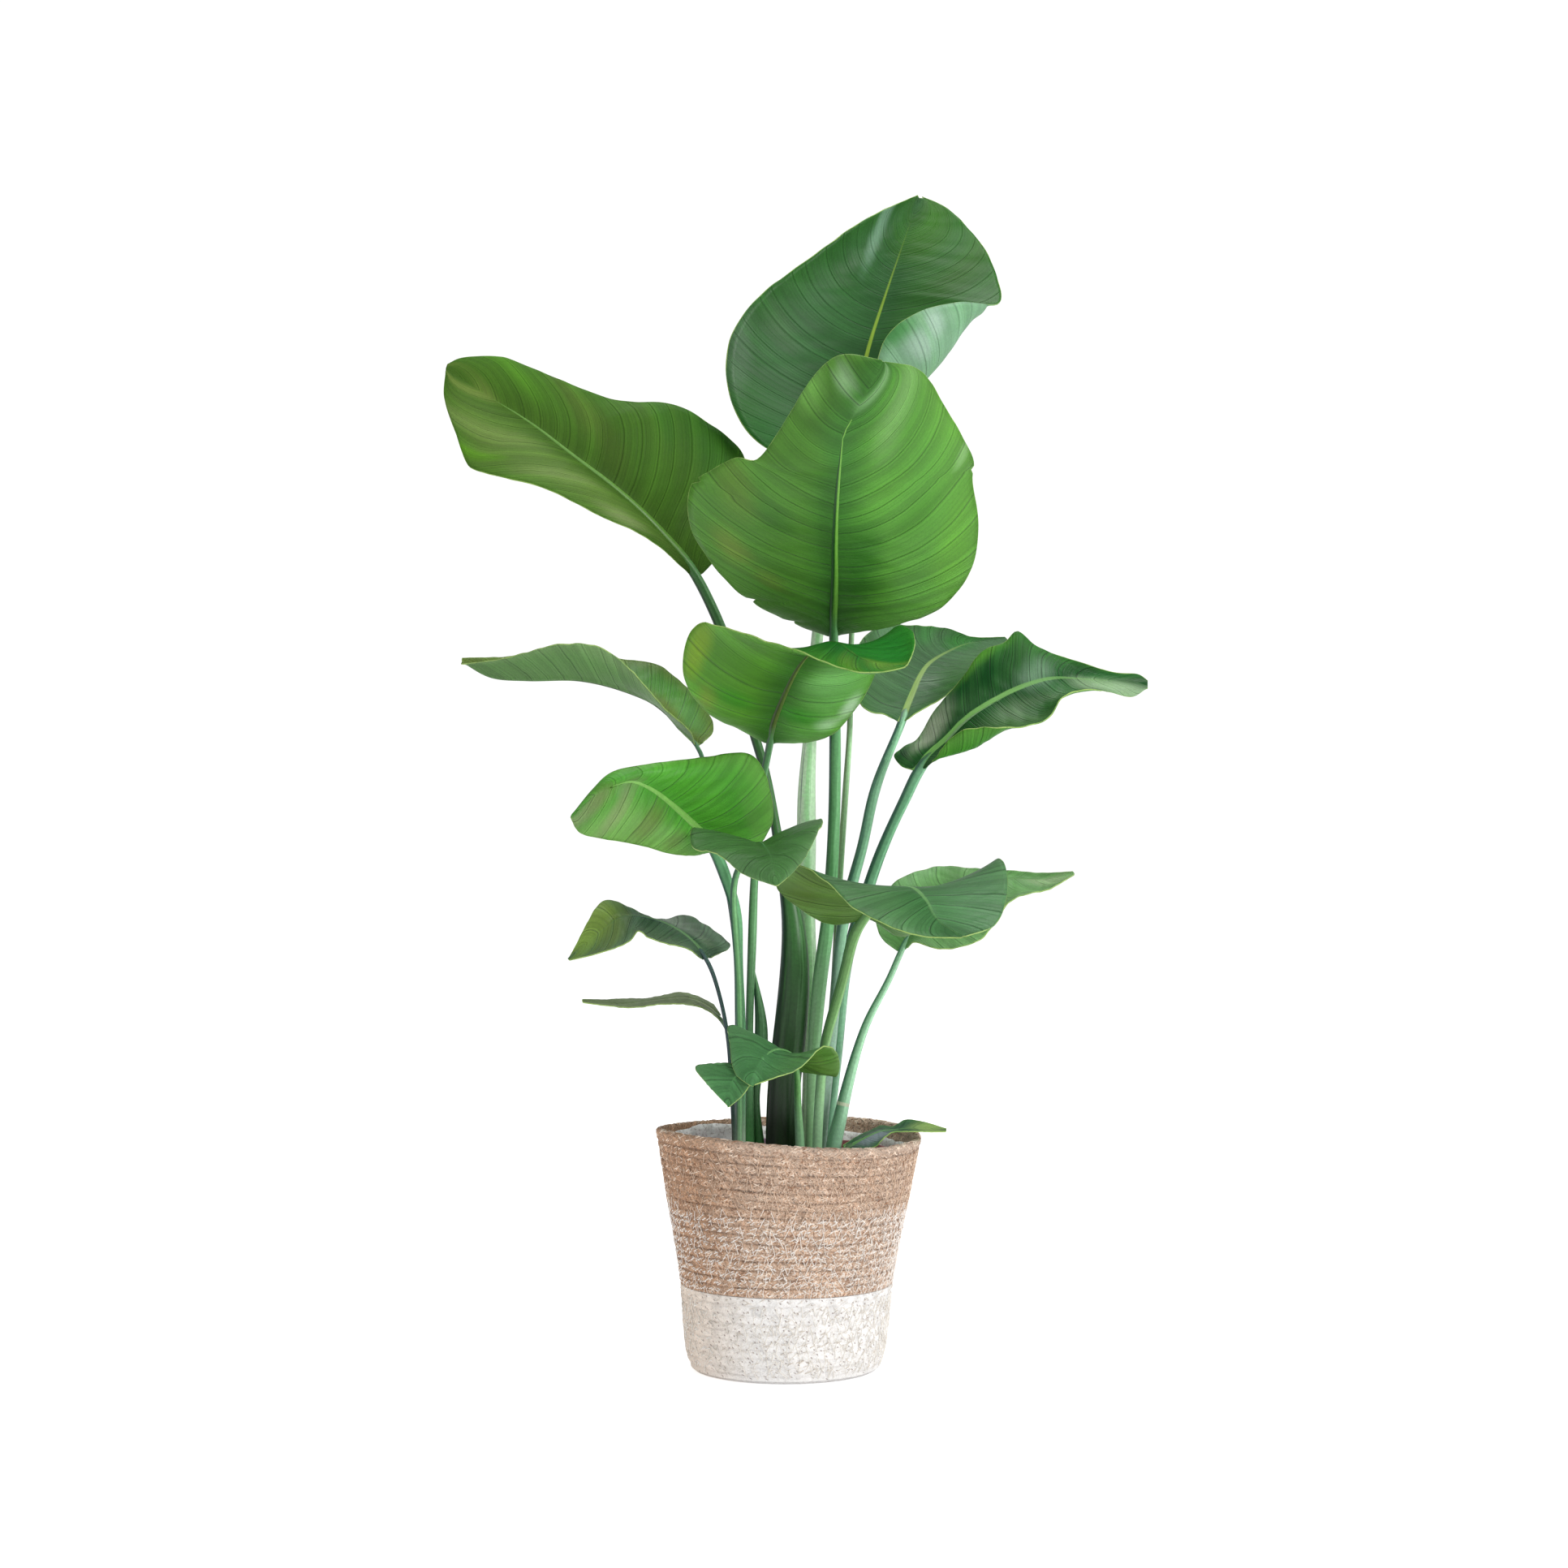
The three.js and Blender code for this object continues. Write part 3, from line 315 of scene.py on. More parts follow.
        path=[(8, 145, -22, 6.5), (6, 175, -27, 4.9), (6, 191, -38, 4.4), (6, 197, -44, 4.2)],
        rib=[(6, 197, -44), (2, 206, -52), (-8, 210, -64), (-17, 205, -78), (-23, 195, -90), (-25, 187, -96)],
        left=[(4, 196, -44), (-17, 213, -48), (-39, 228, -58), (-39, 213, -76), (-35, 195, -88),
            (-26, 187, -97)],
        right=[(9, 196, -43), (25, 194, -40), (32, 193, -44), (33, 209, -54), (25, 213, -66), (6, 198, -82),
            (-12, 191, -91), (-24, 187, -95)],
        belly=(2, -3),
        torn=dict(
            rib=[(-17, 205, -78), (-25, 198, -84), (-36, 191, -88), (-40, 173, -92)],
            left=[(-19, 207, -76), (-36, 202, -76), (-62, 200, -78), (-54, 188, -86), (-41, 174, -92)],
            right=[(-16, 202, -80), (-24, 189, -94), (-31, 180, -95), (-39, 173, -93)],
        ),
    ),
    "leaf_over_rim": dict(
        path=[(31, 132, -27, 5), (33, 145, -28, 4.9), (37, 146, -30, 4.5)],
        rib=[(37, 146, -30), (49, 153, -28), (61, 158, -25), (71, 159, -22), (85, 160, -20), (105, 158, -18)],
        left=[(36, 148, -28), (52, 157, -16), (62, 161, -12), (69, 160, -14), (78, 165, -12), (91, 163, -14),
            (105, 159, -17)],
        right=[(39, 144, -33), (57, 147, -40), (64, 153, -36), (70, 157, -30), (86, 157, -28),
            (102, 157, -22), (105, 157, -19)],
        belly=(1, 1),
    ),
    "rolled_spear": dict(
        path=[(22, 147, 22, 4.3), (28, 213, 22, 4.9), (34, 323, 16, 4.3), (38, 384, 13, 4.3),
            (41, 428, 10, 3.8), (41, 461, 8, 3.8), (42, 488, 6, 3.6), (44, 531, 4, 3), (46, 552, 2, 1.2)],
    ),
}

# Leaf looks, in colours of 0 to 255 a channel. A face has its middle, inner and outer tone, and where they
# differ its left and right one; besides the leaf's own colour these hold painted shade beside the rib, a
# painted glow of light through the margin and painted light and shade on the two halves. A stalk and its
# ridge under the blade have a lit and a shaded tone, painted light on its right and painted shade on its
# left, a foot is (tone, height where it ends, strength), and a collar is a pale ring at a height. A patch is
# (x, z, half its size across, half along, tone, strength), at the place where the viewer sees it; some
# patches are the leaf's own tones, others painted highlights and painted shade.
LEAF_LOOKS = {
    "leaf_top_back": dict(
        upper=[(62, 106, 60), (56, 98, 56), (54, 106, 42), (60, 106, 60), (60, 110, 46)],
        under=[(116, 162, 116), (108, 152, 108), (124, 168, 124)],
        rib=(150, 184, 66), stalk=((172, 228, 166), (206, 230, 198)), ridge=((138, 178, 128), (104, 146, 94)),
        veins=(0.07, 0.2, 0.06), shine=0.15, gloss=0.3,
        upper_patches=[(96, 761, 30, 30, (66, 120, 34), 0.6), (62, 763, 6, 26, (140, 178, 152), 0.55),
            (-36, 677, 14, 30, (104, 132, 104), 0.5), (-12, 618, 30, 25, (46, 106, 48), 0.6),
            (118, 731, 22, 16, (64, 104, 46), 0.6), (-6, 694, 22, 10, (78, 110, 72), 0.5),
            (32, 731, 24, 14, (52, 104, 46), 0.5)],
        under_patches=[(84, 674, 34, 34, (140, 184, 148), 0.9), (112, 700, 34, 26, (140, 184, 148), 0.9),
            (69, 686, 14, 14, (84, 158, 84), 0.8), (88, 680, 14, 8, (190, 218, 200), 0.6),
            (115, 702, 14, 10, (120, 172, 124), 0.6), (96, 694, 12, 5, (200, 224, 210), 0.5)],
    ),
    "leaf_centre_front": dict(
        upper=[(58, 112, 52), (52, 100, 48), (70, 124, 50)],
        under=[(80, 142, 50), (64, 118, 48), (98, 152, 62), (86, 130, 56), (92, 150, 62)],
        rib=(92, 160, 66), stalk=((92, 154, 96), (58, 104, 66)), ridge=((116, 176, 72), (36, 80, 36)),
        foot=((164, 212, 158), 330, 0.85), veins=(0.09, 0.28, 0.12), gloss=0.32,
        under_patches=[(15, 653, 16, 14, (140, 206, 100), 0.55), (38, 658, 14, 8, (170, 210, 160), 0.5),
            (63, 656, 14, 8, (150, 192, 138), 0.45), (74, 640, 14, 26, (126, 168, 104), 0.5),
            (49, 532, 16, 44, (44, 102, 38), 0.6), (26, 564, 7, 60, (56, 98, 42), 0.35),
            (-39, 545, 18, 18, (128, 152, 66), 0.6), (-14, 524, 16, 12, (110, 134, 58), 0.5),
            (-36, 586, 20, 22, (108, 142, 60), 0.55), (108, 542, 18, 26, (100, 164, 54), 0.6),
            (80, 507, 20, 14, (80, 138, 52), 0.5), (15, 607, 16, 14, (80, 132, 48), 0.5),
            (-6, 564, 16, 12, (62, 116, 44), 0.5), (69, 586, 16, 12, (88, 146, 54), 0.5),
            (116, 607, 10, 4, (150, 192, 130), 0.5), (86, 564, 20, 10, (72, 134, 40), 0.5)],
    ),
    "leaf_upper_left": dict(
        upper=[(64, 112, 50), (60, 104, 48), (70, 120, 50)],
        under=[(78, 116, 46), (74, 108, 44), (74, 120, 44), (108, 136, 68), (74, 116, 44)],
        rib=(104, 150, 66), stalk=((70, 120, 66), (34, 62, 42)), ridge=((104, 152, 66), (58, 100, 44)),
        foot=((22, 40, 24), 330, 0.85), shine=0.1, gloss=0.4,
        under_patches=[(-214, 650, 16, 14, (118, 140, 70), 0.7), (-136, 634, 18, 16, (92, 112, 54), 0.5),
            (-184, 664, 14, 14, (88, 142, 46), 0.6), (-201, 621, 18, 16, (120, 144, 80), 0.6),
            (-152, 594, 18, 16, (120, 146, 82), 0.7), (-205, 606, 9, 8, (98, 152, 46), 0.7),
            (-49, 618, 34, 26, (58, 112, 42), 0.6), (-82, 629, 18, 9, (62, 118, 46), 0.4),
            (-36, 632, 8, 20, (44, 84, 38), 0.6), (-66, 564, 18, 20, (76, 104, 52), 0.6),
            (-114, 607, 16, 14, (78, 104, 46), 0.6), (-109, 564, 10, 30, (136, 156, 100), 0.7)],
    ),
    "leaf_middle_front": dict(
        upper=[(56, 144, 60), (50, 132, 54), (72, 156, 60), (112, 164, 66), (52, 142, 60)],
        under=[(80, 140, 50), (62, 114, 44), (98, 160, 56), (90, 146, 46), (112, 178, 90)],
        rib=(92, 116, 58), stalk=((104, 160, 106), (58, 98, 66)), ridge=((104, 128, 60), (62, 80, 42)),
        foot=((72, 160, 76), 200, 0.6), shine=0.25, gloss=0.3,
        upper_patches=[(59, 491, 12, 14, (66, 140, 62), 0.6), (5, 479, 30, 16, (52, 130, 56), 0.8),
            (64, 468, 12, 14, (132, 172, 72), 0.7), (40, 468, 9, 10, (112, 158, 60), 0.6)],
        under_patches=[(-62, 478, 9, 22, (128, 166, 46), 0.85), (-54, 445, 10, 14, (124, 144, 56), 0.6),
            (-36, 445, 18, 9, (60, 144, 38), 0.6), (26, 428, 10, 8, (176, 218, 166), 0.7),
            (41, 441, 7, 12, (198, 228, 192), 0.75), (7, 434, 18, 9, (62, 150, 44), 0.6),
            (26, 456, 16, 12, (132, 196, 112), 0.8), (-22, 478, 18, 12, (80, 130, 50), 0.6),
            (48, 459, 8, 12, (104, 150, 92), 0.6), (10, 478, 10, 10, (96, 150, 70), 0.5),
            (34, 452, 24, 26, (120, 190, 100), 0.55)],
    ),
    "leaf_middle_right": dict(
        upper=[(78, 120, 74), (76, 114, 76), (60, 118, 48), (84, 120, 84), (60, 118, 50)],
        under=[(92, 140, 76), (80, 130, 66), (110, 156, 90)],
        rib=(140, 172, 96), stalk=((126, 184, 142), (70, 110, 94)), ridge=((120, 160, 110), (90, 130, 80)),
        foot=((196, 222, 208), 340, 0.8), veins=(0.12, 0.3, 0.13), shine=0.2, gloss=0.28,
        upper_patches=[(67, 494, 10, 12, (118, 164, 120), 0.7), (64, 475, 10, 10, (160, 178, 160), 0.75),
            (113, 483, 14, 20, (62, 132, 58), 0.8), (64, 432, 14, 14, (66, 112, 60), 0.6),
            (91, 456, 12, 14, (112, 138, 112), 0.5), (91, 488, 10, 10, (74, 140, 72), 0.6)],
    ),
    "leaf_right": dict(
        upper=[(60, 106, 56), (40, 84, 44), (62, 124, 52), (64, 108, 62), (84, 118, 72)],
        under=[(72, 140, 52), (64, 132, 48), (96, 150, 64)],
        rib=(118, 172, 92), stalk=((120, 182, 138), (64, 106, 90)), ridge=((120, 160, 110), (90, 130, 80)),
        foot=((156, 206, 172), 320, 0.65), veins=(0.11, 0.3, 0.12), shine=0.15, gloss=0.28,
        upper_patches=[(131, 461, 14, 20, (28, 76, 40), 0.95), (113, 451, 12, 16, (32, 80, 42), 0.9),
            (115, 478, 7, 26, (92, 152, 60), 0.9), (164, 461, 16, 16, (118, 152, 122), 0.7),
            (183, 451, 12, 12, (66, 122, 66), 0.5), (94, 421, 16, 22, (158, 168, 146), 0.9),
            (150, 437, 12, 18, (100, 130, 94), 0.65), (172, 440, 9, 16, (42, 100, 42), 0.7),
            (75, 407, 10, 12, (34, 66, 40), 0.9), (218, 452, 12, 30, (156, 188, 146), 0.85),
            (204, 457, 6, 14, (124, 162, 112), 0.6), (221, 460, 5, 20, (48, 110, 52), 0.7)],
    ),
    "leaf_left": dict(
        upper=[(116, 142, 62), (106, 132, 58), (128, 156, 78), (120, 144, 70), (102, 150, 66)],
        under=[(96, 138, 78), (88, 128, 70), (124, 156, 104)],
        rib=(128, 164, 96), stalk=((88, 140, 98), (50, 84, 76)), ridge=((84, 104, 80), (56, 70, 64)),
        gloss=0.34,
        upper_patches=[(-82, 452, 16, 34, (88, 160, 62), 0.9), (-66, 434, 12, 20, (108, 168, 90), 0.8),
            (-201, 467, 10, 20, (84, 128, 54), 0.6), (-147, 471, 10, 24, (88, 124, 50), 0.7),
            (-103, 451, 8, 30, (146, 168, 116), 0.6)],
    ),
    "leaf_lower_left_front": dict(
        upper=[(58, 116, 48), (54, 108, 46), (76, 128, 50)],
        under=[(90, 166, 58), (76, 152, 50), (116, 170, 80), (130, 164, 98), (84, 168, 54)],
        rib=(110, 178, 80), stalk=((96, 160, 108), (52, 92, 76)), ridge=((130, 190, 92), (70, 124, 50)),
        foot=((190, 200, 182), 185, 0.7), gloss=0.32,
        under_patches=[(-135, 370, 10, 14, (160, 172, 130), 0.5), (-122, 383, 12, 12, (122, 136, 76), 0.4),
            (-106, 389, 12, 10, (128, 158, 98), 0.5), (-66, 391, 22, 16, (78, 158, 48), 0.6),
            (-36, 378, 20, 18, (72, 148, 48), 0.6), (-24, 364, 8, 24, (100, 160, 70), 0.6),
            (-93, 362, 20, 9, (104, 122, 62), 0.6), (-55, 353, 14, 10, (76, 132, 50), 0.5),
            (-114, 370, 14, 8, (160, 170, 124), 0.4), (-76, 351, 12, 8, (92, 108, 54), 0.5)],
    ),
    "leaf_front_drooping": dict(
        upper=[(56, 118, 54), (46, 104, 46), (76, 134, 70), (58, 118, 56), (52, 114, 52)],
        under=[(88, 134, 80), (76, 122, 68), (110, 150, 100)],
        rib=(96, 148, 96), stalk=((104, 164, 104), (60, 104, 76)), foot=((176, 196, 176), 180, 0.5),
        veins=(0.1, 0.28, 0.1), gloss=0.26,
        upper_patches=[(-49, 343, 10, 14, (48, 110, 60), 0.7), (-6, 337, 10, 10, (50, 96, 50), 0.7),
            (-17, 329, 10, 8, (118, 150, 118), 0.6)],
    ),
    "leaf_lower_right_front": dict(
        upper=[(84, 132, 84), (72, 122, 72), (96, 142, 92), (86, 132, 80), (88, 136, 90)],
        under=[(96, 136, 64), (82, 122, 54), (104, 146, 80), (92, 122, 60), (94, 138, 92)],
        rib=(124, 178, 104), stalk=((116, 168, 96), (72, 118, 62)), ridge=((124, 178, 104), (84, 130, 70)),
        foot=((168, 216, 172), 235, 0.8), veins=(0.1, 0.28, 0.1), gloss=0.3,
        under_patches=[(10, 316, 14, 20, (94, 124, 58), 0.7), (42, 305, 14, 16, (112, 150, 100), 0.6),
            (86, 321, 18, 18, (92, 140, 98), 0.7), (123, 326, 18, 18, (84, 136, 84), 0.6),
            (118, 299, 14, 14, (104, 154, 108), 0.6), (26, 289, 10, 16, (76, 116, 44), 0.6),
            (137, 337, 6, 20, (150, 190, 140), 0.5)],
    ),
    "leaf_lower_right_back": dict(
        upper=[(120, 176, 104), (106, 160, 92), (136, 180, 122), (116, 168, 100), (116, 168, 100)],
        under=[(90, 140, 74), (80, 130, 66), (108, 154, 92)],
        rib=(150, 190, 118), stalk=((150, 200, 160), (92, 146, 112)), foot=((156, 210, 172), 200, 0.6),
        collar=176, gloss=0.34,
        upper_patches=[(177, 324, 9, 20, (158, 192, 136), 0.8), (86, 332, 16, 20, (150, 196, 142), 0.7)],
    ),
    "leaf_low_left": dict(
        upper=[(92, 122, 92), (78, 110, 82), (108, 134, 108), (104, 136, 84), (92, 120, 96)],
        under=[(92, 132, 60), (80, 120, 54), (112, 148, 80)],
        rib=(108, 150, 100), stalk=((70, 98, 92), (44, 62, 72)), veins=(0.12, 0.3, 0.12), gloss=0.28,
        upper_patches=[(-128, 299, 22, 26, (136, 166, 78), 0.95), (-136, 284, 18, 16, (124, 156, 68), 0.9),
            (-115, 288, 12, 12, (116, 140, 74), 0.7), (-74, 296, 16, 16, (132, 156, 130), 0.8),
            (-55, 283, 8, 10, (124, 150, 118), 0.7), (-93, 297, 8, 10, (56, 88, 60), 0.6)],
    ),
    "leaf_low_left_thin": dict(
        upper=[(118, 140, 88), (108, 130, 80), (140, 156, 112)],
        under=[(132, 150, 110), (122, 140, 100), (150, 164, 128)],
        rib=(150, 164, 120), stalk=((104, 134, 96), (66, 92, 78)), gloss=0.38,
    ),
    "leaf_low_front": dict(
        upper=[(94, 136, 66), (82, 126, 60), (106, 148, 82), (94, 134, 64), (96, 136, 60)],
        under=[(90, 142, 90), (80, 132, 82), (104, 152, 102), (90, 142, 92), (92, 138, 76)],
        rib=(84, 142, 84), stalk=((116, 176, 104), (66, 116, 66)), foot=((160, 208, 168), 195, 0.75),
        veins=(0.1, 0.26, 0.1), shine=0.2, gloss=0.34,
        upper_patches=[(-22, 213, 10, 12, (88, 144, 104), 0.6), (15, 200, 9, 10, (86, 126, 56), 0.7),
            (-39, 183, 8, 10, (72, 112, 62), 0.6), (26, 208, 6, 10, (84, 134, 56), 0.7)],
    ),
    "leaf_over_rim": dict(
        upper=[(66, 110, 72), (56, 98, 66), (92, 136, 88)],
        under=[(72, 140, 66), (62, 126, 58), (92, 156, 78)],
        rib=(110, 160, 96), stalk=((88, 130, 84), (56, 86, 62)), gloss=0.34,
        upper_patches=[(93, 160, 15, 14, (158, 190, 110), 0.95), (56, 153, 9, 16, (150, 160, 172), 0.85)],
        under_patches=[(93, 160, 15, 14, (158, 190, 110), 0.95)],
    ),
    "rolled_spear": dict(
        stalk=((158, 204, 150), (112, 134, 96)),
    ),
}


# Curves

def seen(point):
    """A rail point, given in the plane of the origin as the viewer sees it, at its own depth."""
    x, z, depth = point[:3]
    reach = (EYE_DISTANCE + depth) / EYE_DISTANCE
    return np.array([EYE_X + (x - EYE_X) * reach, depth, EYE_HEIGHT + (z - EYE_HEIGHT) * reach])


def as_seen(places):
    """The x and z at which the viewer sees places, in the plane of the origin."""
    reach = (EYE_DISTANCE + places[..., 1]) / EYE_DISTANCE
    return EYE_X + (places[..., 0] - EYE_X) / reach, EYE_HEIGHT + (places[..., 2] - EYE_HEIGHT) / reach


def smooth_line(points, samples=24):
    """A centripetal curve through the points, as many short straight steps."""
    points = [np.asarray(point, dtype=float) for point in points]
    padded = [2 * points[0] - points[1], *points, 2 * points[-1] - points[-2]]
    line = []
    for i in range(len(points) - 1):
        a, b, c, d = padded[i:i + 4]
        ab, bc, cd = (max(np.linalg.norm(q - p), 1e-9) ** 0.5 for p, q in ((a, b), (b, c), (c, d)))
        start = ((b - a) / ab - (c - a) / (ab + bc) + (c - b) / bc) * bc
        end = ((c - b) / bc - (d - b) / (bc + cd) + (d - c) / cd) * bc
        for step in range(samples):
            t = step / samples
            line.append(b + start * t + (3 * (c - b) - 2 * start - end) * t ** 2
                        + (2 * (b - c) + start + end) * t ** 3)
    line.append(points[-1])
    return np.array(line)


def lengths_along(line):
    steps = np.linalg.norm(np.diff(line, axis=0), axis=1)
    return np.concatenate([[0.0], np.cumsum(steps)])


def at_shares(line, shares):
    """Points at the given shares of a line's length."""
    lengths = lengths_along(line)
    return np.stack([np.interp(shares * lengths[-1], lengths, column) for column in line.T], axis=1)


def rail(points, shares):
    return at_shares(smooth_line([seen(point) for point in points]), shares)


def blade_stations(rows):
    """Stations lie closer together near a blade's base and tip, where its outline turns."""
    share = np.arange(rows + 1) / rows
    return 0.5 * share + 0.5 * (0.5 - 0.5 * np.cos(np.pi * share))


def steadied(line, reach):
    """Evens out the small wobbles of a line over a reach in millimetres, and keeps its ends."""
    spacing = lengths_along(line[:, :3])[-1] / (len(line) - 1)
    half = max(1, int(reach / spacing))
    weights = np.hanning(2 * half + 3)[1:-1]
    padded = np.pad(line, ((half, half), (0, 0)), mode="reflect", reflect_type="odd")
    weights = weights / weights.sum()
    return np.stack([np.convolve(column, weights, mode="valid") for column in padded.T], axis=1)


def unit(vectors):
    return vectors / np.maximum(np.linalg.norm(vectors, axis=-1, keepdims=True), 1e-9)


# Mesh helpers

def vectors_of(items, field):
    flat = np.empty(len(items) * 3)
    items.foreach_get(field, flat)
    return flat.reshape(-1, 3)


def new_sheet(name, places):
    """A sheet of quads whose points are an array of rows by columns by 3, in millimetres."""
    rows, columns = places.shape[0] - 1, places.shape[1] - 1
    bpy.ops.object.select_all(action="DESELECT")
    bpy.ops.mesh.primitive_grid_add(x_subdivisions=columns, y_subdivisions=rows, size=1)
    piece = bpy.context.object
    piece.name = piece.data.name = name
    flat = vectors_of(piece.data.vertices, "co")
    column = np.rint((flat[:, 0] + 0.5) * columns).astype(int)
    row = np.rint((flat[:, 1] + 0.5) * rows).astype(int)
    piece.data.vertices.foreach_set("co", (places[row, column] * MM).ravel())
    piece.data.update()
    return piece, row, column


def linked(name, data):
    """A new object for the data, in the scene."""
    made = bpy.data.objects.new(name, data)
    bpy.context.scene.collection.objects.link(made)
    return made


def loose_bits(name, bits):
    """One object of many small closed bits, each given as its vertices in millimetres and its faces."""
    faces, start = [], 0
    for vertices, bit_faces in bits:
        faces.extend([tuple(index + start for index in face) for face in bit_faces])
        start += len(vertices)
    mesh = bpy.data.meshes.new(name)
    mesh.from_pydata((np.concatenate([vertices for vertices, _ in bits]) * MM).tolist(), [], faces)
    mesh.update()
    return linked(name, mesh)


def store(piece, name, values):
    """A vector on each vertex, for the materials."""
    layer = piece.data.attributes.new(name, "FLOAT_VECTOR", "POINT")
    layer.data.foreach_set("vector", np.asarray(values, dtype=np.float32).ravel())


def apply_modifier(piece, kind, **settings):
    modifier = piece.modifiers.new(kind.title(), kind)
    for key, value in settings.items():
        setattr(modifier, key, value)
    bpy.context.view_layer.objects.active = piece
    bpy.ops.object.modifier_apply(modifier=modifier.name)


def select_only(*pieces):
    bpy.ops.object.select_all(action="DESELECT")
    for piece in pieces:
        piece.select_set(True)
    bpy.context.view_layer.objects.active = pieces[0]


def merge_seam(piece, fill=True):
    """Closes the seam of a rolled sheet, and its open ends."""
    select_only(piece)
    bpy.ops.object.mode_set(mode="EDIT")
    bpy.ops.mesh.select_all(action="SELECT")
    bpy.ops.mesh.remove_doubles(threshold=1e-6)
    if fill:
        bpy.ops.mesh.fill_holes(sides=0)
    bpy.ops.mesh.normals_make_consistent(inside=False)
    bpy.ops.object.mode_set(mode="OBJECT")


def join(pieces, name):
    select_only(*pieces)
    if len(pieces) > 1:
        bpy.ops.object.join()
    whole = bpy.context.view_layer.objects.active
    whole.name = whole.data.name = name
    return whole


def finish_piece(piece, slot, *nodes):
    """A finished piece rides with the plant and stands for its nodes; its slot is not used."""
    for polygon in piece.data.polygons:
        polygon.use_smooth = True
    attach(piece, "root")
    if nodes:
        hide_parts(*nodes)


# Materials

def tint(red, green, blue):
    """A colour of 0 to 255 a channel, as the shaders want it."""
    return tuple(((c / 255) / 12.92 if c < 10.3 else ((c / 255 + 0.055) / 1.055) ** 2.4)
                 for c in (red, green, blue)) + (1.0,)


def leaf_tint(red, green, blue):
    """A leaf's own colour, once the gloss that its surface adds is taken off."""
    colour = tint(red, green, blue)
    return tuple(max((channel - LEAF_GLOSS_SHARE) * LEAF_DEPTH, 0.003) for channel in colour[:3]) + (1.0,)


class Finish:
    """A material while its nodes are laid out."""

    def __init__(self, name):
        self.material = bpy.data.materials.new(name)
        self.material.use_nodes = True
        self.tree = self.material.node_tree
        self.shader = self.tree.nodes["Principled BSDF"]

    def put(self, value, socket):
        if isinstance(value, bpy.types.NodeSocket):
            self.tree.links.new(value, socket)
        else:
            socket.default_value = value

    def node(self, kind, *values, **settings):
        """A new node with values or links in its first sockets."""
        made = self.tree.nodes.new(kind)
        for key, value in settings.items():
            setattr(made, key, value)
        for value, socket in zip(values, made.inputs):
            self.put(value, socket)
        return made

    def math(self, operation, *values):
        return self.node("ShaderNodeMath", *values, operation=operation).outputs[0]

    def chain(self, operation, values):
        total = values[0]
        for value in values[1:]:
            total = self.math(operation, total, value)
        return total

    def add(self, *values):
        return self.chain("ADD", values)

    def times(self, *values):
        return self.chain("MULTIPLY", values)

    def less(self, a, b):
        return self.math("SUBTRACT", a, b)

    def apart(self, a, b):
        return self.math("ABSOLUTE", self.less(a, b))

    def ramp(self, value, low, high, to_low=0.0, to_high=1.0):
        """Maps low..high smoothly to to_low..to_high, and holds beyond."""
        return self.node("ShaderNodeMapRange", value, low, high, to_low, to_high,
                         interpolation_type="SMOOTHSTEP").outputs[0]

    def mix(self, share, a, b, blend="MIX"):
        made = self.node("ShaderNodeMix", data_type="RGBA", blend_type=blend)
        self.put(share, made.inputs["Factor"])
        self.put(a, made.inputs[6])
        self.put(b, made.inputs[7])
        return made.outputs[2]

    def shaded(self, colour, shade):
        return self.mix(1.0, colour, self.vector(shade, shade, shade), "MULTIPLY")

    def split(self, vector):
        return self.node("ShaderNodeSeparateXYZ", vector).outputs

    def vector(self, x, y, z=0.0):
        return self.node("ShaderNodeCombineXYZ", x, y, z).outputs[0]

    def attribute(self, name):
        return self.node("ShaderNodeAttribute", attribute_name=name).outputs["Vector"]

    def place(self):
        return self.node("ShaderNodeTexCoord").outputs["Object"]

    def noise(self, vector, scale, detail=2.0, roughness=0.5):
        made = self.node("ShaderNodeTexNoise", vector)
        made.inputs["Scale"].default_value = scale
        made.inputs["Detail"].default_value = detail
        made.inputs["Roughness"].default_value = roughness
        return made.outputs["Fac"]

    def bump(self, height, distance, strength):
        made = self.node("ShaderNodeBump")
        made.inputs["Strength"].default_value = strength
        made.inputs["Distance"].default_value = distance
        self.put(height, made.inputs["Height"])
        return made.outputs[0]

    def set(self, **sockets):
        for name, value in sockets.items():
            self.put(value, self.shader.inputs[name.replace("_", " ")])
        return self.material


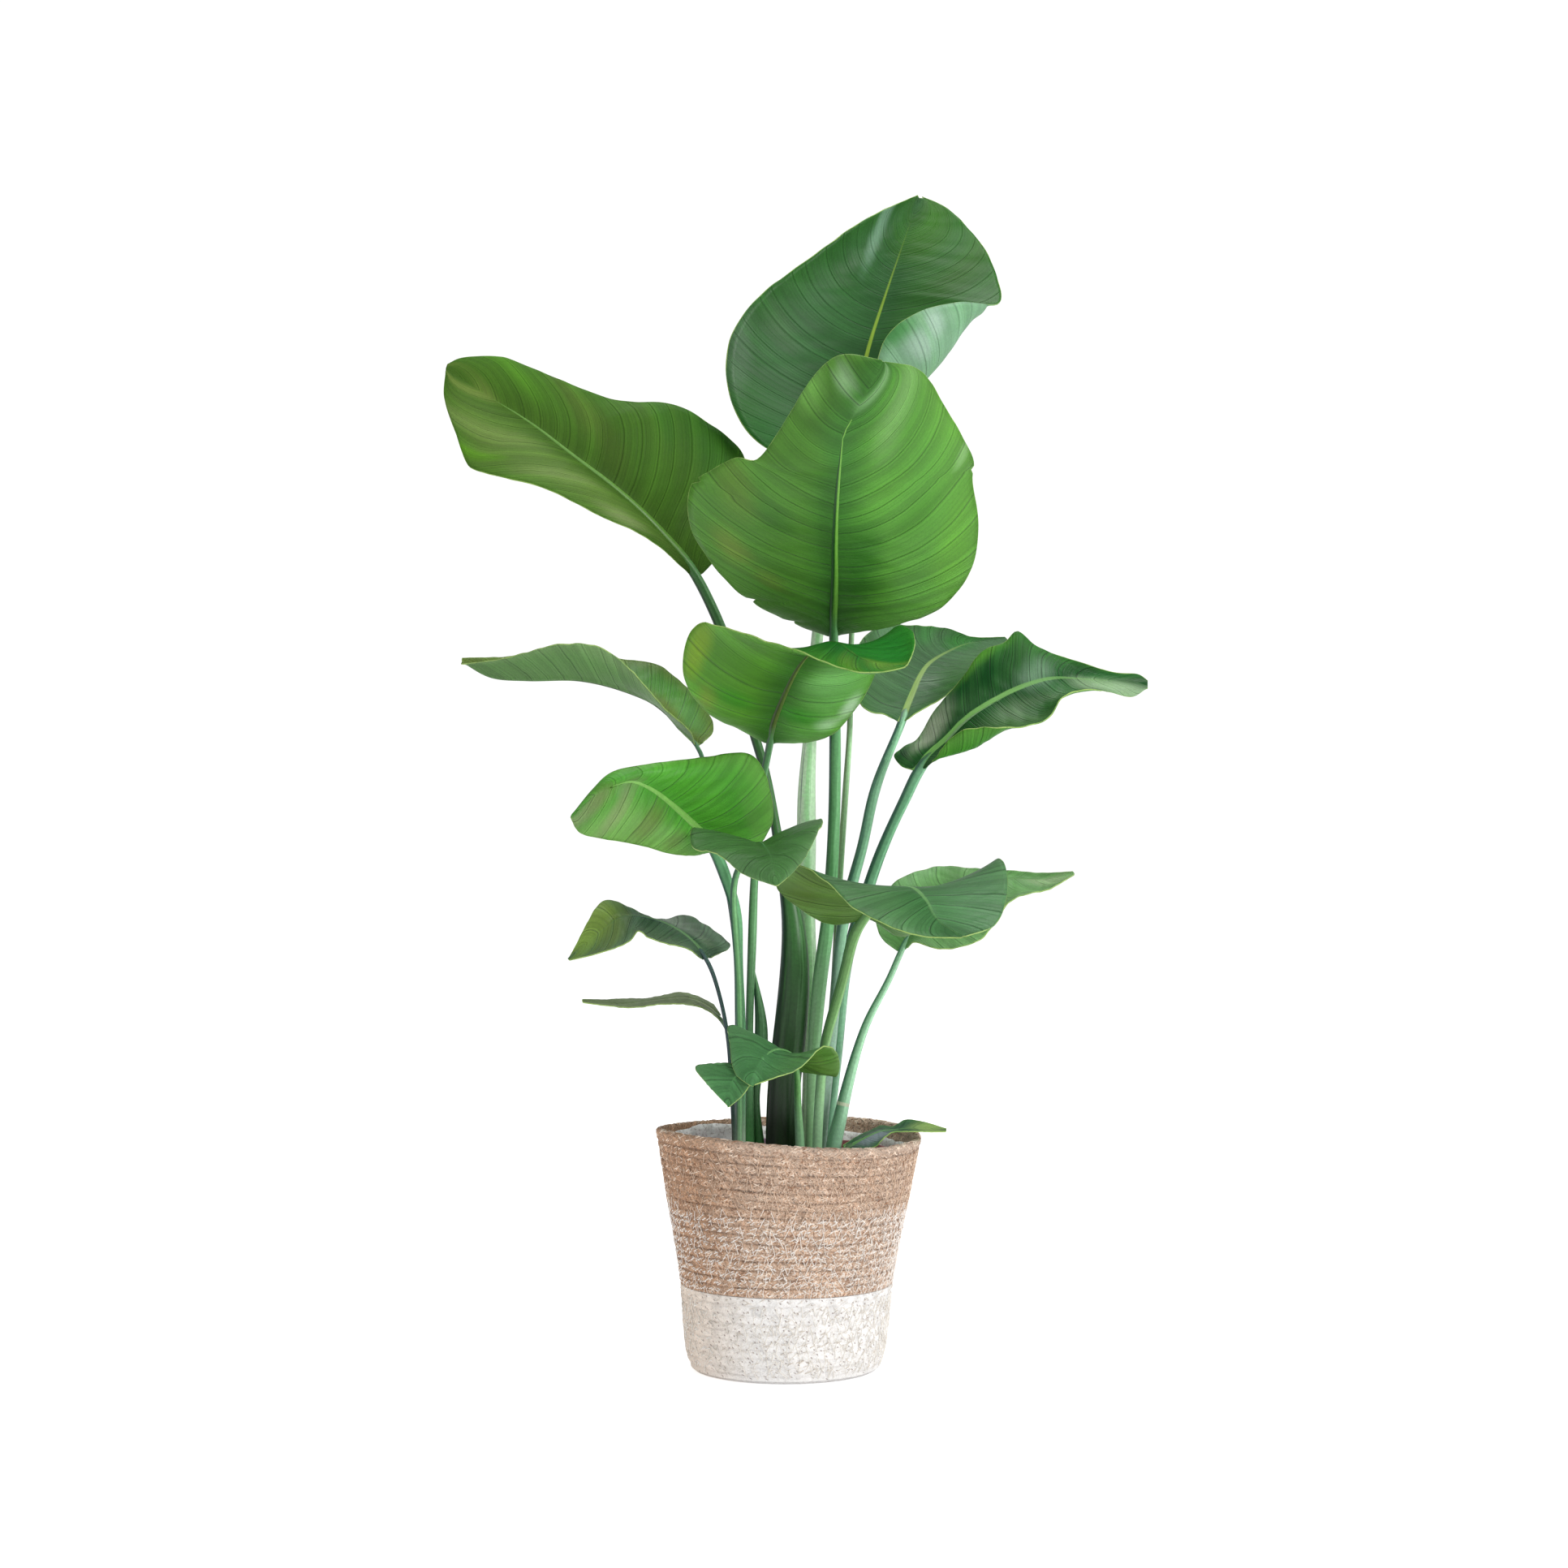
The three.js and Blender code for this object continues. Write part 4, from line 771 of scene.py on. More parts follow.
def blade_finish(name, tones, patches, rib, margin, rib_width, veins, gloss, shine, seed):
    """One face of a blade. Its measure is [mm from the rib, mm along the veins' feet, mm from the margin]."""
    mid, inner, outer, left, right = [leaf_tint(*tone) for tone in (*tones, tones[0], tones[0])[:5]]
    fine_depth, main_depth, strip_depth = veins
    finish = Finish(name)
    across, along, inset = finish.split(finish.attribute("measure"))
    distance = finish.math("ABSOLUTE", across)
    side_share, toward_tip, _ = finish.split(finish.attribute("share"))
    seeded = finish.add(along, seed * 37.0)
    waver = finish.noise(finish.vector(finish.times(distance, 0.012), seeded, seed), 0.07, 1.0)
    vein_line = finish.add(seeded, finish.times(waver, 14.0))

    def drawn_out(stretch, scale, detail=1.0, roughness=0.5, shift=0):
        """Noise drawn out along the veins."""
        place = finish.vector(finish.times(distance, stretch), vein_line, seed + shift)
        return finish.noise(place, scale, detail, roughness)

    streaks = drawn_out(0.02, 0.8, 2.0, 0.6)
    bands = drawn_out(0.008, 0.07)
    strips = drawn_out(0.012, 0.26, shift=3)
    clouds = finish.noise(finish.place(), 13.0, 3.0)
    grain = finish.noise(finish.place(), 900.0, 1.0)

    # The leaf's own tones, with painted shade beside the rib, a painted glow of light through the margin and
    # painted light and shade between the halves
    colour = finish.mix(0.5, mid, finish.mix(finish.ramp(across, -2.0, 2.0), left, right))
    colour = finish.mix(finish.ramp(distance, 1.0, 26.0), inner, colour)
    outer_place = finish.add(finish.math("ABSOLUTE", side_share), finish.times(clouds, 0.5))
    colour = finish.mix(finish.ramp(outer_place, 0.9, 1.4, 0.0, 0.7), colour, outer)
    ragged = finish.add(finish.times(clouds, 0.5), finish.times(bands, 0.4), finish.times(strips, 0.7))
    ragged = finish.less(ragged, 0.8)
    # Patches: some are the leaf's own tones, others painted highlights and painted shade
    for patch_across, patch_along, half_across, half_along, tone, strength in patches:
        squares = []
        for value, middle, half in ((across, patch_across, half_across), (along, patch_along, half_along)):
            share = finish.math("ABSOLUTE", finish.times(finish.less(value, middle), 1 / half))
            squares.append(finish.math("POWER", share, 2.0))
        spread = finish.add(finish.math("SQRT", finish.add(*squares)), ragged)
        colour = finish.mix(finish.ramp(spread, 0.15, 1.25, strength, 0.0), colour, leaf_tint(*tone))

    # The veins: pairs of a dark and a light line, painted shade and painted light on the two sides of a
    # vein's ridge, with finer ones between
    fine_vein = finish.ramp(finish.math("PINGPONG", vein_line, FINE_VEIN_GAP), 0.0, 0.5, 1.0, 0.0)
    main = finish.math("PINGPONG", vein_line, MAIN_VEIN_GAP)
    main_vein = finish.ramp(main, 0.0, 0.55, 1.0, 0.0)
    light_vein = finish.ramp(finish.apart(main, 1.3), 0.0, 0.9, 1.0, 0.0)
    vein_shade = finish.add(finish.times(fine_vein, fine_depth), finish.times(main_vein, main_depth))
    vein_shade = finish.less(vein_shade, finish.times(light_vein, main_depth * 0.45))
    colour = finish.shaded(colour, finish.times(
        finish.ramp(bands, 0.3, 0.7, 0.9, 1.1), finish.ramp(streaks, 0.25, 0.75, 0.95, 1.05),
        finish.ramp(strips, 0.3, 0.7, 1 - strip_depth, 1 + strip_depth),
        finish.ramp(clouds, 0.3, 0.7, 0.92, 1.08), finish.less(1.0, vein_shade),
        finish.ramp(grain, 0.2, 0.8, 0.94, 1.06)))

    # The rib, which narrows and fades toward the tip, and the pale margin
    half_width = finish.ramp(toward_tip, -0.1, 1.0, rib_width, rib_width * 0.08)
    rib_mask = finish.ramp(finish.less(distance, half_width), -0.8, 0.3, 1.0, 0.0)
    rib_place = finish.vector(finish.times(across, 1.5), finish.times(along, 0.05))
    rib_colour = finish.shaded(tint(*rib), finish.ramp(finish.noise(rib_place, 1.0), 0.3, 0.7, 0.86, 1.1))
    rib_colour = finish.mix(finish.ramp(toward_tip, 0.3, 0.95), rib_colour, colour)
    colour = finish.mix(rib_mask, colour, rib_colour)
    edge = finish.add(inset, finish.times(finish.noise(finish.place(), 90.0, 2.0), 1.1))
    colour = finish.mix(finish.ramp(edge, 0.45, 0.95, 0.85, 0.0), colour, tint(*margin))

    height = finish.less(finish.times(streaks, 0.4), finish.times(fine_vein, fine_depth * 5))
    height = finish.less(height, finish.times(main_vein, main_depth * 5))
    height = finish.times(finish.add(height, finish.times(grain, 0.12)), finish.less(1.0, rib_mask))
    rough = finish.add(finish.ramp(clouds, 0.3, 0.7, gloss, gloss + 0.10), finish.times(streaks, 0.08))
    finish.set(Base_Color=colour, Roughness=rough, Normal=finish.bump(height, 0.0002, 0.8))
    return finish.set(Subsurface_Weight=0.1, Subsurface_Radius=(0.5, 1.0, 0.25), Subsurface_Scale=0.0015,
                      Specular_IOR_Level=shine)


def stalk_finish(name, look, seed):
    """A stalk with long fibres, painted shade on its left and a painted highlight on its right. Its measure
    is [turn, mm along, rightness].
    """
    light, dark = look["stalk"]
    ridge_lit, ridge_shaded = look.get("ridge", look["stalk"])
    foot, foot_top, foot_share = look.get("foot", STALK_FOOT)
    pale = tuple(min(255, round(channel * 1.1 + 30)) for channel in light)
    finish = Finish(name)
    turn, along, rightward = finish.split(finish.attribute("measure"))
    _, on_rib, height = finish.split(finish.attribute("share"))
    angle = finish.times(turn, 2 * math.pi)
    fibre_place = finish.vector(finish.math("COSINE", angle), finish.math("SINE", angle),
                                finish.add(finish.times(along, 0.005), seed * 3.1))
    fibres = finish.noise(fibre_place, 6.0, 2.0, 0.6)
    wide = finish.noise(fibre_place, 1.6, 1.0)
    flecks = finish.noise(finish.place(), 500.0, 1.0)
    # How lit each side is: the stalk's two tones give painted shade on its left and painted light on its
    # right
    lit = finish.add(rightward, finish.less(wide, 0.5), finish.times(finish.less(fibres, 0.5), 0.9))
    bark = finish.mix(finish.ramp(lit, -0.75, 0.0), leaf_tint(*dark), leaf_tint(*light))
    # A cool painted shadow down the left edge, a painted highlight on the right and painted shade at the far
    # right edge, then the pale foot and collar
    for value, low, high, to_low, to_high, tone in (
            (lit, -1.1, -0.75, 0.75, 0.0, STALK_SHADE_EDGE), (lit, 0.3, 0.55, 0.0, 0.85, pale),
            (lit, 0.8, 1.05, 0.0, 0.6, dark), (height, 145, foot_top, foot_share, 0.0, foot),
            (finish.apart(height, look.get("collar", 0)), 0.8, 1.4, 0.8, 0.0, STALK_COLLAR)):
        bark = finish.mix(finish.ramp(value, low, high, to_low, to_high), bark, leaf_tint(*tone))
    # The ridge under the rib, with painted shade on its left and painted light on its right
    ridge = finish.mix(finish.ramp(lit, -0.5, 0.3), leaf_tint(*ridge_shaded), leaf_tint(*ridge_lit))
    colour = finish.mix(finish.ramp(on_rib, 0.0, 0.12), bark, ridge)
    colour = finish.shaded(colour, finish.ramp(flecks, 0.25, 0.75, 0.92, 1.08))
    finish.set(Base_Color=colour, Roughness=finish.ramp(fibres, 0.2, 0.8, 0.3, 0.42),
               Normal=finish.bump(fibres, 0.0001, 0.4))
    return finish.set(Subsurface_Weight=0.08, Subsurface_Radius=(0.5, 1.0, 0.3), Subsurface_Scale=0.002,
                      Specular_IOR_Level=0.4)


# Leaves

def half_blade(rib, fold, margin, belly, away):
    """Points from the rib to one margin. A fold line half way bends the half round."""
    v = (np.arange(1, HALF_BLADE_COLUMNS + 1) / HALF_BLADE_COLUMNS)[None, :, None]
    rows = len(rib)
    rib, margin = rib[:, None, :], margin[:, None, :]
    if fold is not None:
        return rib * (1 - v) * (1 - 2 * v) + fold[:, None, :] * 4 * v * (1 - v) + margin * v * (2 * v - 1)
    swell = np.sin(np.pi * (np.arange(rows) + 0.5) / rows)[:, None, None]
    return rib + (margin - rib) * v + away[:, None, :] * belly * swell * 4 * v * (1 - v)


def nicked(rib, margin, nicks):
    """The margin, drawn in toward the rib at each nick."""
    drawn = margin.copy()
    lengths = lengths_along(margin)
    seen_x, seen_z = as_seen(margin)
    for x, z, half_width, depth in nicks:
        nearest = np.argmin(np.hypot(seen_x - x, seen_z - z))
        pull = np.clip(1 - np.abs(lengths - lengths[nearest]) / half_width, 0, 1) * depth
        drawn += unit(rib - margin) * pull[:, None]
    return drawn


def waved(along, share, width, side, seed):
    """How far a half waves out of its plane: slow ripples, pleats along the veins and a frilled margin."""
    ripple = RIPPLE_HEIGHT * np.sin(np.pi * along) * np.sin(2 * np.pi * RIPPLES * along + 2 * side)
    shift = 0.4 * share[:, None] ** 1.5 * (1 + side)
    pleat = sum(weight * np.sin(2 * np.pi * (count * along + shift) + seed * k)
                for k, (count, weight) in enumerate(PLEATS)).T
    pleat_share = np.clip(share * 5, 0, 1) * (1 - 0.3 * share)
    frill = FRILL_HEIGHT * np.sin(2 * np.pi * FRILLS * along + seed + side) * np.sin(
        2 * np.pi * FRILL_SWELLS * along + seed)
    return (ripple[:, None] * share ** 2 * np.clip(width / RIPPLE_FULL_WIDTH, 0, 1)
            + PLEAT_HEIGHT * pleat * pleat_share * np.sin(np.pi * along)[:, None]
            * np.clip(width / PLEAT_FULL_WIDTH, 0, 1)
            + frill[:, None] * share ** 6 * np.clip(width / FRILL_FULL_WIDTH, 0, 1))


def blade_places(shape, seed):
    """The blade's middle surface, the direction away from the viewer, and its measures and shares."""
    stations = blade_stations(BLADE_ROWS)
    rails = {key: rail(shape[key], stations)
             for key in ("rib", "left", "right", "left_fold", "right_fold") if key in shape}
    rib = rails["rib"]
    away = unit(np.cross(unit(np.gradient(rib, axis=0)), rails["right"] - rails["left"]))
    along = np.arange(BLADE_ROWS + 1) / BLADE_ROWS
    share = np.arange(1, HALF_BLADE_COLUMNS + 1) / HALF_BLADE_COLUMNS
    bellies, nicks = shape.get("belly", (0, 0)), shape.get("nicks", ([], []))
    halves = []
    for side, key in enumerate(("left", "right")):
        margin = nicked(rib, rails[key], nicks[side])
        half = half_blade(rib, rails.get(f"{key}_fold"), margin, bellies[side], away)
        lift = waved(along, share, np.linalg.norm(margin - rib, axis=1)[:, None], side, seed)
        halves.append(half + away[:, None, :] * lift[:, :, None])
    surface = np.concatenate([halves[0][:, ::-1], rib[:, None, :], halves[1]], axis=1)

    middle = HALF_BLADE_COLUMNS
    gap = np.linalg.norm(np.diff(surface, axis=1), axis=2)
    across = np.zeros(surface.shape[:2])
    across[:, :middle] = -np.cumsum(gap[:, :middle][:, ::-1], axis=1)[:, ::-1]
    across[:, middle + 1:] = np.cumsum(gap[:, middle:], axis=1)
    climbed = lengths_along(rib)
    whole = climbed[-1]
    inset = np.minimum(across - across[:, :1], across[:, -1:] - across)
    inset = np.minimum(inset, (1 - along)[:, None] * whole)
    signed = np.linspace(-1, 1, surface.shape[1])[None, :] * np.ones((len(rib), 1))
    slants = [base * (1 - climbed / whole) + tip * (climbed / whole)
              for base, tip in shape.get("lean", VEIN_LEAN)]
    slant = np.stack([slants[0]] * middle + [slants[0] * 0] + [slants[1]] * middle, axis=1)
    feet = climbed[:, None] - slant * np.abs(signed) ** 1.15 * whole
    groove = RIB_GROOVE_DEPTH * np.exp(-(across / RIB_GROOVE_HALF_WIDTH) ** 2) * (1 - along[:, None]) ** 0.5
    surface = surface + (away * shape.get("underside", 1))[:, None, :] * groove[:, :, None]
    shares = np.stack([signed, along[:, None] * np.ones_like(signed), signed * 0], axis=2)
    return surface, away, np.stack([across, feet, inset], axis=2), shares


def found_patches(surface, measure, patches):
    """The patches with their places on the blade, as measures, instead of where the viewer sees them."""
    seen_x, seen_z = as_seen(surface)
    found = []
    for x, z, *rest in patches:
        miss = np.hypot(seen_x - x, seen_z - z)
        nearest = np.unravel_index(np.argmin(miss + 0.05 * surface[..., 1]), miss.shape)
        found.append((measure[nearest][0], measure[nearest][1], *rest))
    return found


def blade_piece(name, shape, seed, look, rib_width):
    """A blade with a thickness, a keel under its rib, and an upper and a lower finish."""
    surface, away, measure, share = blade_places(shape, seed)
    piece, row, column = new_sheet(name, surface)
    measure_here, share_here = measure[row, column], share[row, column]
    store(piece, "measure", measure_here)
    store(piece, "share", share_here)
    underside = shape.get("underside", 1)
    keel = np.exp(-(measure_here[:, 0] / KEEL_HALF_WIDTH) ** 2) * (1 - 0.8 * share_here[:, 1])
    thickness = BLADE_THICKNESS + (KEEL_THICKNESS - BLADE_THICKNESS) * keel
    group = piece.vertex_groups.new(name="thickness")
    for index, value in enumerate(thickness / KEEL_THICKNESS):
        group.add([index], float(value), "REPLACE")
    apply_modifier(piece, "SOLIDIFY", thickness=KEEL_THICKNESS * MM, offset=-underside, use_even_offset=False,
                   vertex_group="thickness", thickness_vertex_group=0.0, use_rim=True)
    piece.vertex_groups.clear()
    mesh = piece.data
    for face, margin, widen, duller in (("upper", MARGIN_UPPER, 1.0, 0.0),
                                        ("under", MARGIN_UNDER, 0.8, 0.06)):
        patches = found_patches(surface, measure, look.get(f"{face}_patches", []))
        mesh.materials.append(blade_finish(
            f"{name}_{face}", look[face], patches, look["rib"], margin, rib_width * widen,
            look.get("veins", VEINS), look["gloss"] + duller, look.get("shine", BLADE_SHINE), seed + duller))

    # Solidify keeps the sheet's own faces first, then adds the other side and the rim
    columns = surface.shape[1] - 1
    cells = (surface.shape[0] - 1) * columns
    normals = vectors_of(mesh.polygons, "normal")[:cells]
    first_faces_viewer = np.sum(normals * away[np.arange(cells) // columns]) < 0
    first_is_upper = first_faces_viewer == (underside == 1)
    material_index = np.ones(len(mesh.polygons), dtype=int)
    material_index[:cells] = 0 if first_is_upper else 1
    material_index[cells:2 * cells] = 1 if first_is_upper else 0
    mesh.polygons.foreach_set("material_index", material_index)
    return piece


def stalk_line(shape):
    """Rows of [x, y, z, radius, facing x, y, z, share of the rib] from the soil up the path and the rib."""
    places = [seen(point) for point in shape["path"]]
    foot = places[0]
    straight = (STEM_BOTTOM, (STEM_BOTTOM + STEM_STRAIGHT_TOP) / 2, STEM_STRAIGHT_TOP)
    kept = [(place, point[3] / 2) for place, point in zip(places, shape["path"])
            if place[2] > STEM_BEND_HEIGHT]
    points = [np.array([foot[0], foot[1], z]) for z in straight] + [place for place, _ in kept]
    radii = [kept[0][1]] * len(straight) + [radius for _, radius in kept]
    facing = np.array(STALK_FACING)
    rib_rows = []
    if "rib" in shape:
        shares = np.linspace(0, 1, RIB_STATIONS + 1)[1:]
        rib, left, right = (rail(shape[key], shares) for key in ("rib", "left", "right"))
        downs = unit(np.cross(unit(np.gradient(rib, axis=0)), right - left)) * shape.get("underside", 1)
        facing = -downs[0]
        for place, down, share in zip(rib, downs, shares):
            radius = max(radii[-1] * (1.2 - 1.08 * share ** 0.8), 0.3)
            sunk = 0.45 + 0.9 * (1 - share) ** 0.5
            rib_rows.append([*(place + down * sunk), radius, *(-down), share])
    return [[*point, radius, *facing, 0.0] for point, radius in zip(points, radii)] + rib_rows


def tube_piece(name, line_rows, finish, rows=STALK_ROWS, flatness=1.0):
    """A round stalk with a shallow channel on its upper side, half-round under a blade's rib."""
    line = at_shares(smooth_line(line_rows), np.linspace(0, 1, rows + 1))
    blend = np.clip(line[:, 7:8] * 8, 0, 1)
    line = steadied(line, STALK_STEADY_REACH) * (1 - blend) + line * blend
    centre, radius, facing, on_rib = line[:, :3], line[:, 3], line[:, 4:7], np.clip(line[:, 7], 0, 1)
    tangent = unit(np.gradient(centre, axis=0))
    normal = unit(facing - tangent * np.sum(tangent * facing, axis=1, keepdims=True))
    side = np.cross(tangent, normal)
    turn = np.linspace(0, 1, STALK_COLUMNS + 1)
    angle = 2 * np.pi * turn
    from_channel = np.abs((turn + 0.5) % 1 - 0.5) * 2 * np.pi
    profile = 1 - STALK_CHANNEL_DEPTH * np.exp(-(from_channel / 0.6) ** 2)
    up = np.cos(angle) * profile
    flat = np.clip(on_rib * 10, 0, 1)[:, None]
    up = np.where(up > 0, up * (1 - flat), up[None, :] * (1 - 0.25 * flat))
    offset = normal[:, None, :] * up[:, :, None] + side[:, None, :] * (np.sin(angle) * profile)[None, :, None]
    offset = offset * radius[:, None, None]
    offset[:, :, 1] *= flatness
    piece, row, column = new_sheet(name, centre[:, None, :] + offset)
    rightward = unit(offset)[:, :, 0]
    length = lengths_along(centre)
    store(piece, "measure", np.stack([turn[column], length[row], rightward[row, column]], axis=1))
    store(piece, "share", np.stack([turn[column], on_rib[row], centre[row, 2]], axis=1))
    merge_seam(piece)
    piece.data.materials.append(finish)
    return piece


def build_leaf(name, shape, seed):
    look = LEAF_LOOKS[name]
    rib_width = shape["path"][-1][3] * RIB_SHARE
    blades = [blade for blade in (shape, shape.get("torn", {})) if "rib" in blade]
    pieces = [blade_piece(f"{name}_blade{number}", blade, seed + number, look, rib_width)
              for number, blade in enumerate(blades)]
    bark = stalk_finish(f"{name}_stalk", look, seed)
    pieces.append(tube_piece(f"{name}_stem", stalk_line(shape), bark))
    if "bract" in shape:
        rows = [[*seen(point), point[3] / 2, *STALK_FACING, 0.0] for point in shape["bract"]]
        pieces.append(tube_piece(f"{name}_bract", rows, bark, BRACT_ROWS, BRACT_FLATNESS))
    finish_piece(join(pieces, f"{name}_grown"), "leaf", name)


# Basket

WALL_LINE = smooth_line(WALL_PROFILE, 60)


def wall_radius(height):
    return np.interp(height, WALL_LINE[:, 1], WALL_LINE[:, 0])


def hand_made(places):
    """The hand-made basket leans a little to the right, and its rim is higher at the left front."""
    angle = np.arctan2(places[..., 1], places[..., 0])
    share = places[..., 2] / RIM_HEIGHT
    lift = -RIM_TILT * np.cos(angle) + RIM_TWIST * np.sin(2 * angle)
    moved = places.copy()
    moved[..., 2] += lift * np.maximum(0, share) ** 3
    moved[..., 0] -= WALL_LEAN * (1 - share)
    return moved


def rope_finish(name, light, mid, dark, hole, hole_share, seam_share, shaded_left_tint, grit, seed):
    """Loosely twisted rope sewn in rows. Its measure is [mm round the row, rows up, depth of the relief]."""
    light, mid, dark, hole = (tint(*tone) for tone in (light, mid, dark, hole))
    finish = Finish(name)
    around, up, _ = finish.split(finish.attribute("measure"))
    height = finish.times(up, ROPE_PITCH)
    row = finish.math("FLOOR", up)

    def drawn_out(lengthways, fine, crossways, coarse, shift, detail=1.0, roughness=0.5):
        """Noise with one scale lengthways and another crossways."""
        place = finish.vector(finish.times(lengthways, fine), finish.times(crossways, coarse), seed + shift)
        return finish.noise(place, 1.0, detail, roughness)

    # Fibres that rise to the right in most places and to the left in some
    sway = finish.noise(finish.vector(finish.times(around, 0.05), row, seed), 1.0, 1.0)
    slant = finish.add(around, finish.times(height, finish.ramp(sway, 0.3, 0.7, 0.5, 1.3)))
    cross = finish.less(around, finish.times(height, 1.2))
    rising = drawn_out(slant, 0.8, cross, 0.18, 0, 2.0, 0.65)
    falling = drawn_out(cross, 0.8, slant, 0.18, 4, 2.0, 0.65)
    chosen = finish.ramp(drawn_out(around, 0.3, height, 0.4, 7), 0.42, 0.58)
    strands = finish.add(finish.times(rising, chosen), finish.times(falling, finish.less(1.0, chosen)))
    hairs = drawn_out(slant, 2.2, cross, 0.5, 9)
    grain = finish.noise(finish.place(), 1100.0, 2.0, 0.7)
    cloud = finish.noise(finish.place(), 20.0, 3.0)
    flecks = finish.noise(finish.place(), 640.0, 1.0)
    tone = finish.add(finish.times(strands, 0.65), finish.times(hairs, 0.35))
    colour = finish.mix(finish.ramp(tone, 0.37, 0.47), dark, mid)
    colour = finish.mix(finish.ramp(tone, 0.52, 0.61), colour, light)

    # Needle holes in every row
    hole_place = finish.vector(finish.times(around, 1 / PINHOLE_PITCH), up)
    pinhole = finish.node("ShaderNodeTexVoronoi", hole_place, voronoi_dimensions="2D")
    pinhole.inputs["Scale"].default_value = 1.0
    pinhole.inputs["Randomness"].default_value = 0.75
    holes = finish.ramp(pinhole.outputs["Distance"], 0.07, 0.14, hole_share, 0.0)
    colour = finish.mix(holes, colour, hole)

    # Broken dark seams between the rows, but neither on the rim nor where the colours meet
    row_place = finish.math("PINGPONG", finish.add(up, 0.5), 0.5)
    seam_noise = finish.noise(finish.vector(finish.times(around, 0.045), row, seed), 1.0, 3.0, 0.7)
    wander = finish.times(finish.less(strands, 0.5), 0.6)
    on_rim = finish.times(finish.ramp(up, ROPE_ROWS - 0.6, ROPE_ROWS - 0.3),
                          finish.ramp(up, ROPE_ROWS + 1, ROPE_ROWS + 1.3, 1.0, 0.0))
    seam = finish.times(finish.ramp(finish.add(row_place, wander), 0.33, 0.45),
                        finish.ramp(seam_noise, 0.44, 0.6, 0.25, 1.0), finish.less(1.0, on_rim),
                        finish.ramp(finish.apart(up, WHITE_ROWS), 0.3, 0.7))
    colour = finish.mix(finish.times(seam, seam_share), colour, hole)
    colour = finish.mix(finish.ramp(flecks, 0.34, 0.42, 2 * grit, 0.0), colour, hole)
    colour = finish.mix(finish.times(on_rim, 0.12), colour, light)
    colour = finish.shaded(colour, finish.times(finish.ramp(cloud, 0.3, 0.7, 0.97, 1.03),
                                                finish.ramp(grain, 0.25, 0.75, 1 - grit, 1 + 0.8 * grit)))
    # Painted shade: the left side of the basket is darker and warmer
    x = finish.split(finish.place())[0]
    colour = finish.mix(finish.ramp(x, -0.075, -0.015, 1.0, 0.0), colour, shaded_left_tint, "MULTIPLY")
    relief = finish.less(finish.add(tone, finish.times(grain, 0.2)), finish.times(holes, 0.4))
    finish.set(Base_Color=colour, Roughness=finish.ramp(grain, 0.2, 0.8, 0.82, 0.96),
               Normal=finish.bump(relief, 0.0016, 0.8))
    return finish.set(Sheen_Weight=0.2, Sheen_Roughness=0.6, Specular_IOR_Level=0.2)


def rope_wall(first, last):
    """The outside of a band of rope rows, with its rows and plies in relief."""
    up = np.linspace(first, last, round((last - first) * FACES_PER_ROPE_ROW) + 1)
    theta = np.linspace(0, 2 * np.pi, ROPE_AROUND + 1)[None, :]
    rng = np.random.default_rng(7 + int(first))
    waves = [(k, rng.uniform(-1, 1), rng.uniform(0, 2 * np.pi)) for k in (2, 3, 5, 9, 14)]
    row = np.floor(up + 1e-6)[:, None]
    up = up[:, None]
    in_row = up - row
    drift = sum(weight * np.sin(k * theta + phase + 1.7 * row) for k, weight, phase in waves)
    height = up * ROPE_PITCH * np.ones_like(theta)
    height[1:-1] += ROW_DRIFT * drift[1:-1] * np.abs(np.sin(np.pi * in_row[1:-1]))
    free = np.sin(np.pi * (up - first) / (last - first)) ** 0.4
    height += ROW_WAVE * free * (np.sin(2 * theta + 0.35 * up) + 0.6 * np.sin(5 * theta + 1.1 * up + 1)
                                 + 0.4 * np.sin(11 * theta - 0.9 * up))
    base = wall_radius(height)
    bulge = np.sqrt(np.clip(1 - (2 * in_row - 1) ** 2, 0, 1))
    bulge[up > ROPE_ROWS - 0.5] = 1     # the last row stays full up to the rim's fold
    arc = theta * base
    ply = np.abs(np.sin(np.pi * (arc / PLY_LENGTH + 0.9 * in_row + 0.37 * row)))
    depth = 0.75 + 0.25 * np.sin(3 * theta + 2.3 * row) + 0.2 * np.sin(7 * theta + 4.1 * row)
    relief = (ROPE_RELIEF * depth * (bulge - 1) + PLY_RELIEF * (ply - 0.6) * bulge
              + DRIFT_RELIEF * drift * bulge)
    relief *= np.clip(np.abs(up - WHITE_ROWS) / 0.7, 0.12, 1)     # the bands meet nearly flat
    radius = base + relief
    outside = np.stack([radius * np.cos(theta), radius * np.sin(theta), height], axis=2)
    outside[:, -1] = outside[:, 0]
    return outside, np.stack([arc, up * np.ones_like(arc), relief], axis=2)


def ring_of(radius, height, around=ROPE_AROUND):
    theta = np.linspace(0, 2 * np.pi, around + 1)
    ring = np.stack([radius * np.cos(theta), radius * np.sin(theta), np.full_like(theta, height)], axis=1)
    ring[-1] = ring[0]
    return ring


def rings_of(rings, around=ROPE_AROUND):
    return np.stack([ring_of(radius, height, around) for radius, height in rings])


def rings_measure(rings, start):
    """Measures for plain rings that carry on from the relief: mm round, rows along."""
    theta = np.linspace(0, 2 * np.pi, rings.shape[1])
    radius = np.linalg.norm(rings[:, :, :2], axis=2)
    steps = np.linalg.norm(np.diff(rings[:, 0], axis=0), axis=1)
    along = start + np.concatenate([[0], np.cumsum(steps)]) / ROPE_PITCH
    return np.stack([theta[None, :] * radius, along[:, None] * np.ones_like(radius), radius * 0], axis=2)


